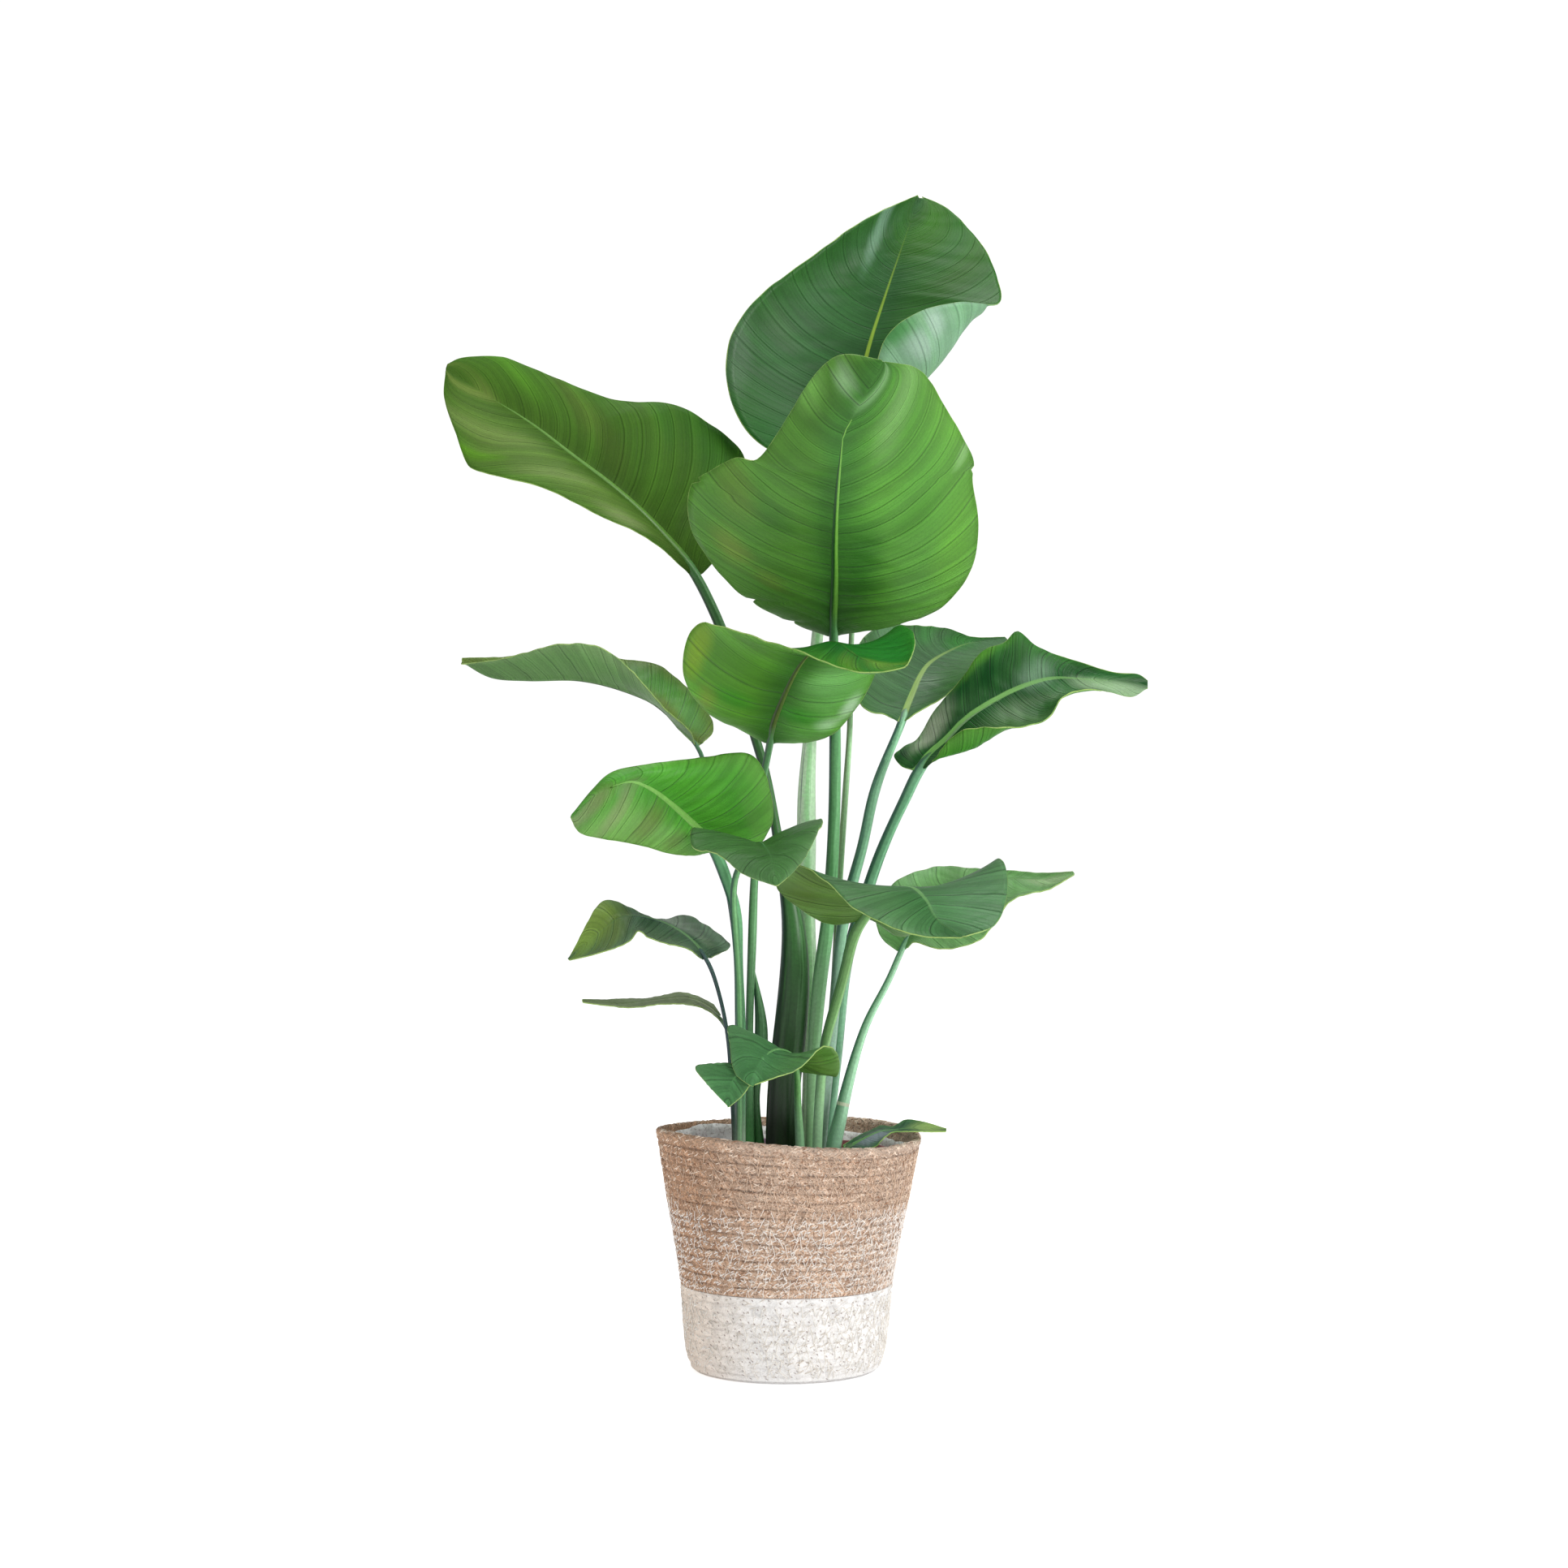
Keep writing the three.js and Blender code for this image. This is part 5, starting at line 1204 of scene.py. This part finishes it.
def basket_band(name, node, slot, finish, first, last, rings_below, rings_above):
    """A closed band of rope: the rings of its underside, its rows, and the rings back down its inside."""
    outside, measure = rope_wall(first, last)
    above = rings_of(rings_above)
    parts, measures = [outside, above], [measure, rings_measure(above, last + 0.3)]
    if rings_below:
        below = rings_of(rings_below)
        parts.insert(0, below)
        measures.insert(0, rings_measure(below, UNDERSIDE_START))
    piece, row, column = new_sheet(name, hand_made(np.concatenate(parts)))
    store(piece, "measure", np.concatenate(measures)[row, column])
    merge_seam(piece)
    piece.data.materials.append(finish)
    finish_piece(piece, slot, node)


def inner_rings(top, bottom):
    """The inside of the wall going down, its rope rows in low relief."""
    heights = np.arange(top, bottom, -ROPE_PITCH / 2)
    return [(wall_radius(h) - BASKET_WALL + 0.6 * (k % 2), h) for k, h in enumerate(heights)]


def build_basket():
    white = rope_finish("white_rope", (253, 251, 250), (252, 250, 248), (241, 236, 232), (140, 114, 104),
                        0.62, 0.14, (0.95, 0.82, 0.7, 1), 0.06, 3.0)
    natural = rope_finish("natural_rope", (254, 239, 224), (214, 179, 152), (136, 97, 72), (84, 58, 42),
                          0.6, 0.48, (0.88, 0.7, 0.54, 1), 0.24, 9.0)
    boundary = WHITE_ROWS * ROPE_PITCH
    at_boundary, near_base = wall_radius(boundary), wall_radius(8)
    underside = [(POLE_RADIUS, 0), (20, 0), (40, 0), (BASE_RADIUS, 0), (61, 0.8)]
    white_inside = [(at_boundary - 1.2, boundary - 0.3), *inner_rings(boundary - 0.3, 20),
                    (near_base - BASKET_WALL, 8), (near_base - BASKET_WALL - 3, BASKET_WALL),
                    (30, BASKET_WALL), (POLE_RADIUS, BASKET_WALL)]
    basket_band("white_rope_band", "basket_white_rope", "rope_white", white, 0.45, WHITE_ROWS - 0.05,
                underside, white_inside)
    rim = wall_radius(RIM_HEIGHT)
    fold = [(rim - inward, RIM_HEIGHT + raised) for inward, raised in (
        (0.15, 0.7), (0.7, 1.5), (1.6, 2.1), (2.6, 2.2), (3.6, 1.8), (4.4, 1.0), (4.9, 0))]
    natural_inside = [*fold, *inner_rings(RIM_HEIGHT - 1.5, boundary + 1),
                      (at_boundary - BASKET_WALL, boundary), (at_boundary - 1.3, boundary)]
    basket_band("natural_rope_band", "basket_natural_rope", "rope_natural", natural, WHITE_ROWS, ROPE_ROWS,
                [], natural_inside)


# Stitches and loose fibres on the rope

def seam_point(theta, up, lift):
    """A point on the basket's outside at a number of rows up, lifted off the wall."""
    height = up * ROPE_PITCH
    radius = wall_radius(height) + lift
    return hand_made(np.array([[radius * math.cos(theta), radius * math.sin(theta), height]]))[0]


def thin_thread(points, radius, sides=4):
    """A thread through the points, as vertices and faces."""
    points = np.asarray(points)
    tangent = unit(np.gradient(points, axis=0))
    outward = unit(points * [1, 1, 0])
    side = unit(np.cross(tangent, outward))
    rings = [points + radius * (outward * math.cos(angle) - side * math.sin(angle))
             for angle in np.arange(sides) * 2 * math.pi / sides]
    faces = []
    for i in range(len(points) - 1):
        for k in range(sides):
            a, b = sides * i + k, sides * i + (k + 1) % sides
            faces.append((a, b, b + sides, a + sides))
    last = sides * (len(points) - 1)
    faces += [tuple(range(sides - 1, -1, -1)), tuple(range(last, last + sides))]
    return np.stack(rings, axis=1).reshape(-1, 3), faces


def on_rope(theta_a, up_a, theta_b, up_b, lift):
    """Points from one place on the rope to another, over its rows, with both ends sunk into it."""
    points = []
    for share in (0.0, 0.12, 0.5, 0.88, 1.0):
        up = up_a + (up_b - up_a) * share
        in_row = up - math.floor(up)
        hollow = ROPE_RELIEF * (1 - math.sqrt(max(0.0, 1 - (2 * in_row - 1) ** 2))) * THREAD_SINK
        sunk = END_DEPTH if share in (0.0, 1.0) else 0.0
        points.append(seam_point(theta_a + (theta_b - theta_a) * share, up, lift - hollow - sunk))
    return points


def count_round(row, spacing):
    """How many stitches or strands this far apart go round a row."""
    return int(2 * math.pi * float(wall_radius(row * ROPE_PITCH)) / spacing)


def threads_piece(name, slot, finish, threads):
    piece = loose_bits(name, threads)
    piece.data.materials.append(finish)
    finish_piece(piece, slot)


def sew(name, slot, finish, rows, stitch, radius, missing, seed):
    """Zigzag stitches that pull each row to the one above it, fewer of them on the left."""
    rng = random.Random(seed)
    threads = []
    for row in rows:
        count = count_round(row, stitch)
        offset = rng.random()
        low = [2 * math.pi * (k + offset + rng.uniform(-0.35, 0.35)) / count for k in range(count)]
        for k in range(count):
            first = low[k]
            second = low[(k + 1) % count] + (2 * math.pi if k == count - 1 else 0)
            middle = (first + second) / 2 + rng.uniform(-0.3, 0.3) * (second - first)
            top = row + 0.8 + rng.uniform(0, 0.45)
            if rng.random() < 0.06 and row + 2 < rows[-1]:
                top = row + 2.1
            foot = row - rng.uniform(0.1, 0.45)
            for stretch in ((first, foot, middle, top), (middle, top, second, foot)):
                if rng.random() >= missing * (1 - 0.7 * math.cos(middle)):
                    points = on_rope(*stretch, THREAD_LIFT)
                    threads.append(thin_thread(points, radius * rng.uniform(0.65, 1.3)))
    threads_piece(name, slot, finish, threads)


def lay_strands(name, slot, finish, rows, spacing, steepness, lengths, radii, seed):
    """Loose bundles of fibre on the rope, slanted with its twist."""
    rng = random.Random(seed)
    threads = []
    for row in rows:
        count = count_round(row, spacing)
        for k in range(count):
            theta = 2 * math.pi * (k + rng.uniform(-0.5, 0.5)) / count
            up = row + rng.uniform(0.05, 0.75)
            length = rng.uniform(*lengths)
            rise = steepness * rng.uniform(0.6, 1.4)
            turn = rng.choice((-1, 1, 1, 1)) * length / float(wall_radius(up * ROPE_PITCH))
            points = on_rope(theta, up, theta + turn, min(up + rise, row + 0.95), STRAND_LIFT)
            threads.append(thin_thread(points, rng.uniform(*radii), 3))
    threads_piece(name, slot, finish, threads)


def lay_rim_strands(finish, seed):
    """Bundles of fibre that run slantwise over the rim."""
    rng = random.Random(seed)
    rim = float(wall_radius(RIM_HEIGHT))
    threads = []
    for _ in range(RIM_STRANDS):
        theta = rng.uniform(0, 2 * math.pi)
        turn = rng.choice((-1, 1, 1)) * rng.uniform(0.03, 0.08)
        start = rng.uniform(-20, 110)
        points = []
        for share in (0.0, 0.15, 0.5, 0.85, 1.0):
            over = math.radians(start + 60 * share)
            reach = RIM_ROLL + 0.05 - (0.8 if share in (0.0, 1.0) else 0.0)
            radius = rim - RIM_ROLL + reach * math.cos(over)
            angle = theta + turn * share
            points.append([radius * math.cos(angle), radius * math.sin(angle),
                           RIM_HEIGHT - 0.2 + reach * math.sin(over)])
        threads.append(thin_thread(hand_made(np.array(points)), rng.uniform(0.25, 0.45), 3))
    threads_piece("rim_strands", "rope_natural", finish, threads)


def thread_finish(name, colour, dark, patchiness=1800.0):
    finish = Finish(name)
    twist = finish.noise(finish.place(), patchiness, 1.0)
    finish.set(Base_Color=finish.mix(finish.ramp(twist, 0.35, 0.65), tint(*dark), tint(*colour)),
               Roughness=finish.ramp(twist, 0.2, 0.8, 0.7, 0.9))
    return finish.set(Sheen_Weight=0.2)


def build_threads():
    white_thread = thread_finish("white_thread", (255, 252, 248), (236, 224, 214))
    tan_thread = thread_finish("tan_thread", (236, 212, 190), (190, 156, 128))
    pale_thread = thread_finish("pale_thread", (250, 247, 242), (228, 220, 208))
    tan_strand = thread_finish("tan_strand", (252, 232, 212), (160, 118, 88), 160.0)
    pale_strand = thread_finish("pale_strand", (250, 247, 243), (220, 210, 198), 160.0)
    sew("white_stitching", "rope_white", white_thread, range(WHITE_ROWS, 20), 5.4, 0.2, 0.42, 5)
    sew("tan_stitching", "rope_natural", tan_thread, range(19, ROPE_ROWS - 1), 6.0, 0.24, 0.45, 6)
    sew("pale_stitching", "rope_white", pale_thread, range(1, WHITE_ROWS - 1), 6.0, 0.24, 0.35, 7)
    lay_strands("tan_strands", "rope_natural", tan_strand, range(WHITE_ROWS, ROPE_ROWS), 2.8, 0.3,
                (2.5, 5.0), (0.25, 0.5), 8)
    lay_strands("pale_strands", "rope_white", pale_strand, range(1, WHITE_ROWS), 3.6, 0.3,
                (2.5, 5.0), (0.25, 0.5), 9)
    lay_strands("white_dashes", "rope_white", white_thread, range(WHITE_ROWS, 19), 1.9, 0.26,
                (1.6, 3.8), (0.3, 0.6), 10)
    lay_rim_strands(tan_strand, 11)


# Film, pot and soil

def build_film():
    """A crinkled lining that stands in folds above the pot, highest at the left back."""
    finish = Finish("clear_film")
    haze = finish.noise(finish.place(), 60.0, 3.0)
    sparkle = finish.noise(finish.place(), 420.0, 2.0, 0.7)
    colour = finish.mix(finish.ramp(haze, 0.3, 0.7), (0.93, 0.90, 0.90, 1), (1, 0.98, 0.97, 1))
    # Painted reflections on the crinkled film: dark specks and white glints
    colour = finish.mix(finish.ramp(sparkle, 0.38, 0.46, 0.6, 0.0), colour, (0.46, 0.41, 0.40, 1))
    colour = finish.mix(finish.ramp(sparkle, 0.54, 0.62), colour, (1, 1, 1, 1))
    finish.set(Base_Color=colour, Roughness=finish.ramp(haze, 0.3, 0.7, 0.08, 0.25),
               Normal=finish.bump(sparkle, 0.001, 0.6))
    finish.set(Transmission_Weight=0.15, IOR=1.42, Specular_IOR_Level=0.7)
    rows = []
    for height in np.linspace(FILM_BOTTOM, FILM_TOP, FILM_UP + 1):
        share = max(0.0, (height - CREASES_FROM) / (FILM_TOP - CREASES_FROM))
        row = []
        for angle in np.linspace(0, 2 * np.pi, FILM_AROUND + 1)[:-1]:
            radius = float(wall_radius(height)) - BASKET_WALL - FILM_GAP
            where = (math.cos(angle) * 9, math.sin(angle) * 9, height * 0.06)
            crease = abs(noise.noise(where)) + 0.5 * abs(noise.noise([3.1 * w for w in where]))
            radius -= CREASE_DEPTH * share * crease - 0.9 * share
            raised = FILM_PEAK * math.exp(-((angle - PEAK_ANGLE) / PEAK_SPREAD) ** 2)
            edge = FILM_EDGE_WAVE * noise.noise((math.cos(angle) * 5, math.sin(angle) * 5, 3)) + raised
            row.append((radius * math.cos(angle), radius * math.sin(angle), height + edge * share ** 4))
        rows.append(row + row[:1])
    floor = rings_of([(POLE_RADIUS, FILM_FLOOR), (30, FILM_FLOOR), (54, FILM_FLOOR)], FILM_AROUND)
    piece, _, _ = new_sheet("clear_film", hand_made(np.concatenate([floor, np.array(rows)])))
    merge_seam(piece, fill=False)
    apply_modifier(piece, "SOLIDIFY", thickness=FILM_THICKNESS * MM, offset=-1)
    piece.data.materials.append(finish.material)
    finish_piece(piece, "film", "film_lining")


def build_pot():
    finish = Finish("pot_plastic")
    scuff = finish.noise(finish.place(), 300.0, 3.0)
    x = finish.split(finish.place())[0]
    colour = finish.mix(finish.ramp(x, -0.03, 0.03), tint(146, 108, 142), tint(138, 74, 78))
    finish.set(Base_Color=colour, Roughness=finish.ramp(scuff, 0.3, 0.7, 0.38, 0.6),
               Normal=finish.bump(scuff, 0.0001, 0.4))
    slope = (POT_RADIUS - POT_LIP - POT_FOOT_RADIUS) / (POT_TOP - POT_FLOOR)

    def wall(height):
        return POT_FOOT_RADIUS + slope * (height - POT_FLOOR)

    lip_foot = POT_TOP - POT_LIP_HEIGHT
    floor_top = POT_FLOOR + POT_WALL
    profile = [(POLE_RADIUS, POT_FLOOR), (wall(POT_FLOOR) - 2, POT_FLOOR),
               (wall(POT_FLOOR + 2), POT_FLOOR + 2)]
    profile += [(wall(h), h) for h in np.linspace(20, lip_foot - 1, 12)]
    profile += [(wall(lip_foot), lip_foot - 0.2), (POT_RADIUS - 0.4, lip_foot), (POT_RADIUS, lip_foot + 0.5),
                (POT_RADIUS, POT_TOP - 0.6), (POT_RADIUS - 0.4, POT_TOP), (POT_RADIUS - 1.3, POT_TOP),
                (POT_RADIUS - 1.6, POT_TOP - 0.6), (POT_RADIUS - 1.7, lip_foot + 1.5),
                (wall(lip_foot) - POT_WALL, lip_foot - 1)]
    profile += [(wall(h) - POT_WALL, h) for h in np.linspace(lip_foot - 4, POT_FLOOR + 3, 8)]
    profile += [(wall(POT_FLOOR) - 4, floor_top), (POLE_RADIUS, floor_top)]
    piece, _, _ = new_sheet("grower_pot", rings_of(profile, POT_AROUND))
    merge_seam(piece)
    piece.data.materials.append(finish.material)
    finish_piece(piece, "nursery_pot", "nursery_pot")


def soil_height(x, y, share, sunk):
    """The lumpy top of the soil, lower toward the pot's wall."""
    lump = noise.fractal((x * 0.16, y * 0.16, 1.0), 1.0, 2.1, 4)
    return SOIL_TOP - sunk + 1.3 * lump - 1.6 * share ** 6


def build_soil():
    finish = Finish("potting_mix")
    crumbs = finish.noise(finish.place(), 420.0, 4.0, 0.7)
    cloud = finish.noise(finish.place(), 40.0, 2.0)
    colour = finish.mix(finish.ramp(crumbs, 0.3, 0.7), tint(34, 24, 18), tint(92, 68, 48))
    colour = finish.mix(finish.ramp(cloud, 0.5, 0.7, 0.0, 0.4), colour, tint(60, 44, 32))
    finish.set(Base_Color=colour, Roughness=finish.ramp(crumbs, 0.2, 0.8, 0.85, 1.0),
               Normal=finish.bump(crumbs, 0.0015, 0.9))
    places = []
    for share in np.linspace(0.001, 1, SOIL_ACROSS + 1):
        ring = []
        for angle in np.linspace(0, 2 * np.pi, SOIL_AROUND + 1)[:-1]:
            x, y = SOIL_RADIUS * share * math.cos(angle), SOIL_RADIUS * share * math.sin(angle)
            ring.append((x, y, soil_height(x, y, share, 0.3)))
        places.append(ring + ring[:1])
    bottom = rings_of([(SOIL_RADIUS - 0.6, SOIL_TOP - 8), (SOIL_RADIUS - 6, 60), (52, 20), (48, 9),
                       (POLE_RADIUS, 9)], SOIL_AROUND)
    soil, _, _ = new_sheet("potting_mix", np.concatenate([np.array(places), bottom]))
    merge_seam(soil)

    bpy.ops.mesh.primitive_ico_sphere_add(subdivisions=1, radius=1)
    crumb = bpy.context.object
    crumb_shape = np.array([list(vertex.co) for vertex in crumb.data.vertices])
    crumb_faces = [tuple(polygon.vertices) for polygon in crumb.data.polygons]
    bpy.data.objects.remove(crumb)
    rng = random.Random(12)
    bits = []
    for _ in range(CRUMBS):
        angle, reach = rng.uniform(0, 2 * math.pi), math.sqrt(rng.random()) * (SOIL_RADIUS - 2)
        x, y = reach * math.cos(angle), reach * math.sin(angle)
        size = rng.uniform(0.5, 1.7)
        stretch = np.array([rng.uniform(0.6, 1.5), rng.uniform(0.6, 1.5), rng.uniform(0.4, 0.9)]) * size
        jitter = np.array([[rng.uniform(0.75, 1.15)] * 3 for _ in crumb_shape])
        middle = np.array([x, y, soil_height(x, y, reach / SOIL_RADIUS, 0.1)])
        bits.append((middle + crumb_shape * stretch * jitter, crumb_faces))
    piece = join([soil, loose_bits("crumbs", bits)], "potting_mix")
    piece.data.materials.append(finish.material)
    finish_piece(piece, "soil", "potting_soil")


# Stage

def build_stage():
    """A pale floor that the camera sees as white, a soft white studio and three broad lights."""
    floor_finish = Finish("pale_floor")
    floor_finish.set(Base_Color=(0.93, 0.93, 0.93, 1), Roughness=0.9, Emission_Color=(1, 1, 1, 1))
    seen_by_camera = floor_finish.node("ShaderNodeLightPath").outputs["Is Camera Ray"]
    floor_finish.set(Emission_Strength=floor_finish.ramp(seen_by_camera, 0, 1, 0.36, 0.62))
    bpy.ops.mesh.primitive_plane_add(size=12)
    floor = bpy.context.object
    floor.name = "pale_floor"
    floor.data.materials.append(floor_finish.material)

    world = bpy.data.worlds.new("studio")
    bpy.context.scene.world = world
    world.use_nodes = True
    tree = world.node_tree
    choice = tree.nodes.new("ShaderNodeMixShader")
    rays = tree.nodes.new("ShaderNodeLightPath")
    tree.links.new(rays.outputs["Is Camera Ray"], choice.inputs[0])
    for background, strength, socket in ((tree.nodes["Background"], 0.5, choice.inputs[1]),
                                         (tree.nodes.new("ShaderNodeBackground"), 1.05, choice.inputs[2])):
        background.inputs["Color"].default_value = (1, 1, 1, 1)
        background.inputs["Strength"].default_value = strength
        tree.links.new(background.outputs[0], socket)
    tree.links.new(choice.outputs[0], tree.nodes["World Output"].inputs["Surface"])

    for name, place, size, power in (("key", (1.7, -1.5, 1.5), 0.9, 32), ("top", (0.2, 0.2, 2.2), 1.2, 16),
                                     ("fill", (-1.7, -1.4, 0.9), 1.4, 3)):
        light = bpy.data.lights.new(name, "AREA")
        light.size = size
        light.energy = power
        lamp = linked(name, light)
        lamp.location = place
        aim = Vector(np.array([0, 0, 0.4]) - np.array(place))
        lamp.rotation_euler = aim.to_track_quat("-Z", "Y").to_euler()


def build_camera():
    camera = bpy.data.cameras.new("viewer")
    camera.sensor_width = SENSOR_MM
    camera.lens = SENSOR_MM * EYE_DISTANCE / (PHOTO_SIDE_PIXELS * MM_PER_PIXEL)
    camera.clip_end = 50
    viewer = linked("viewer", camera)
    viewer.location = (EYE_X * MM, -EYE_DISTANCE * MM, EYE_HEIGHT * MM)
    viewer.rotation_euler = (math.pi / 2, 0, 0)
    bpy.context.scene.camera = viewer


bpy.context.scene.view_settings.view_transform = "Standard"
build_camera()
build_stage()
for order, (leaf_name, leaf_shape) in enumerate(LEAF_SHAPES.items()):
    build_leaf(leaf_name, leaf_shape, order + 1)
build_basket()
build_threads()
build_film()
build_pot()
build_soil()
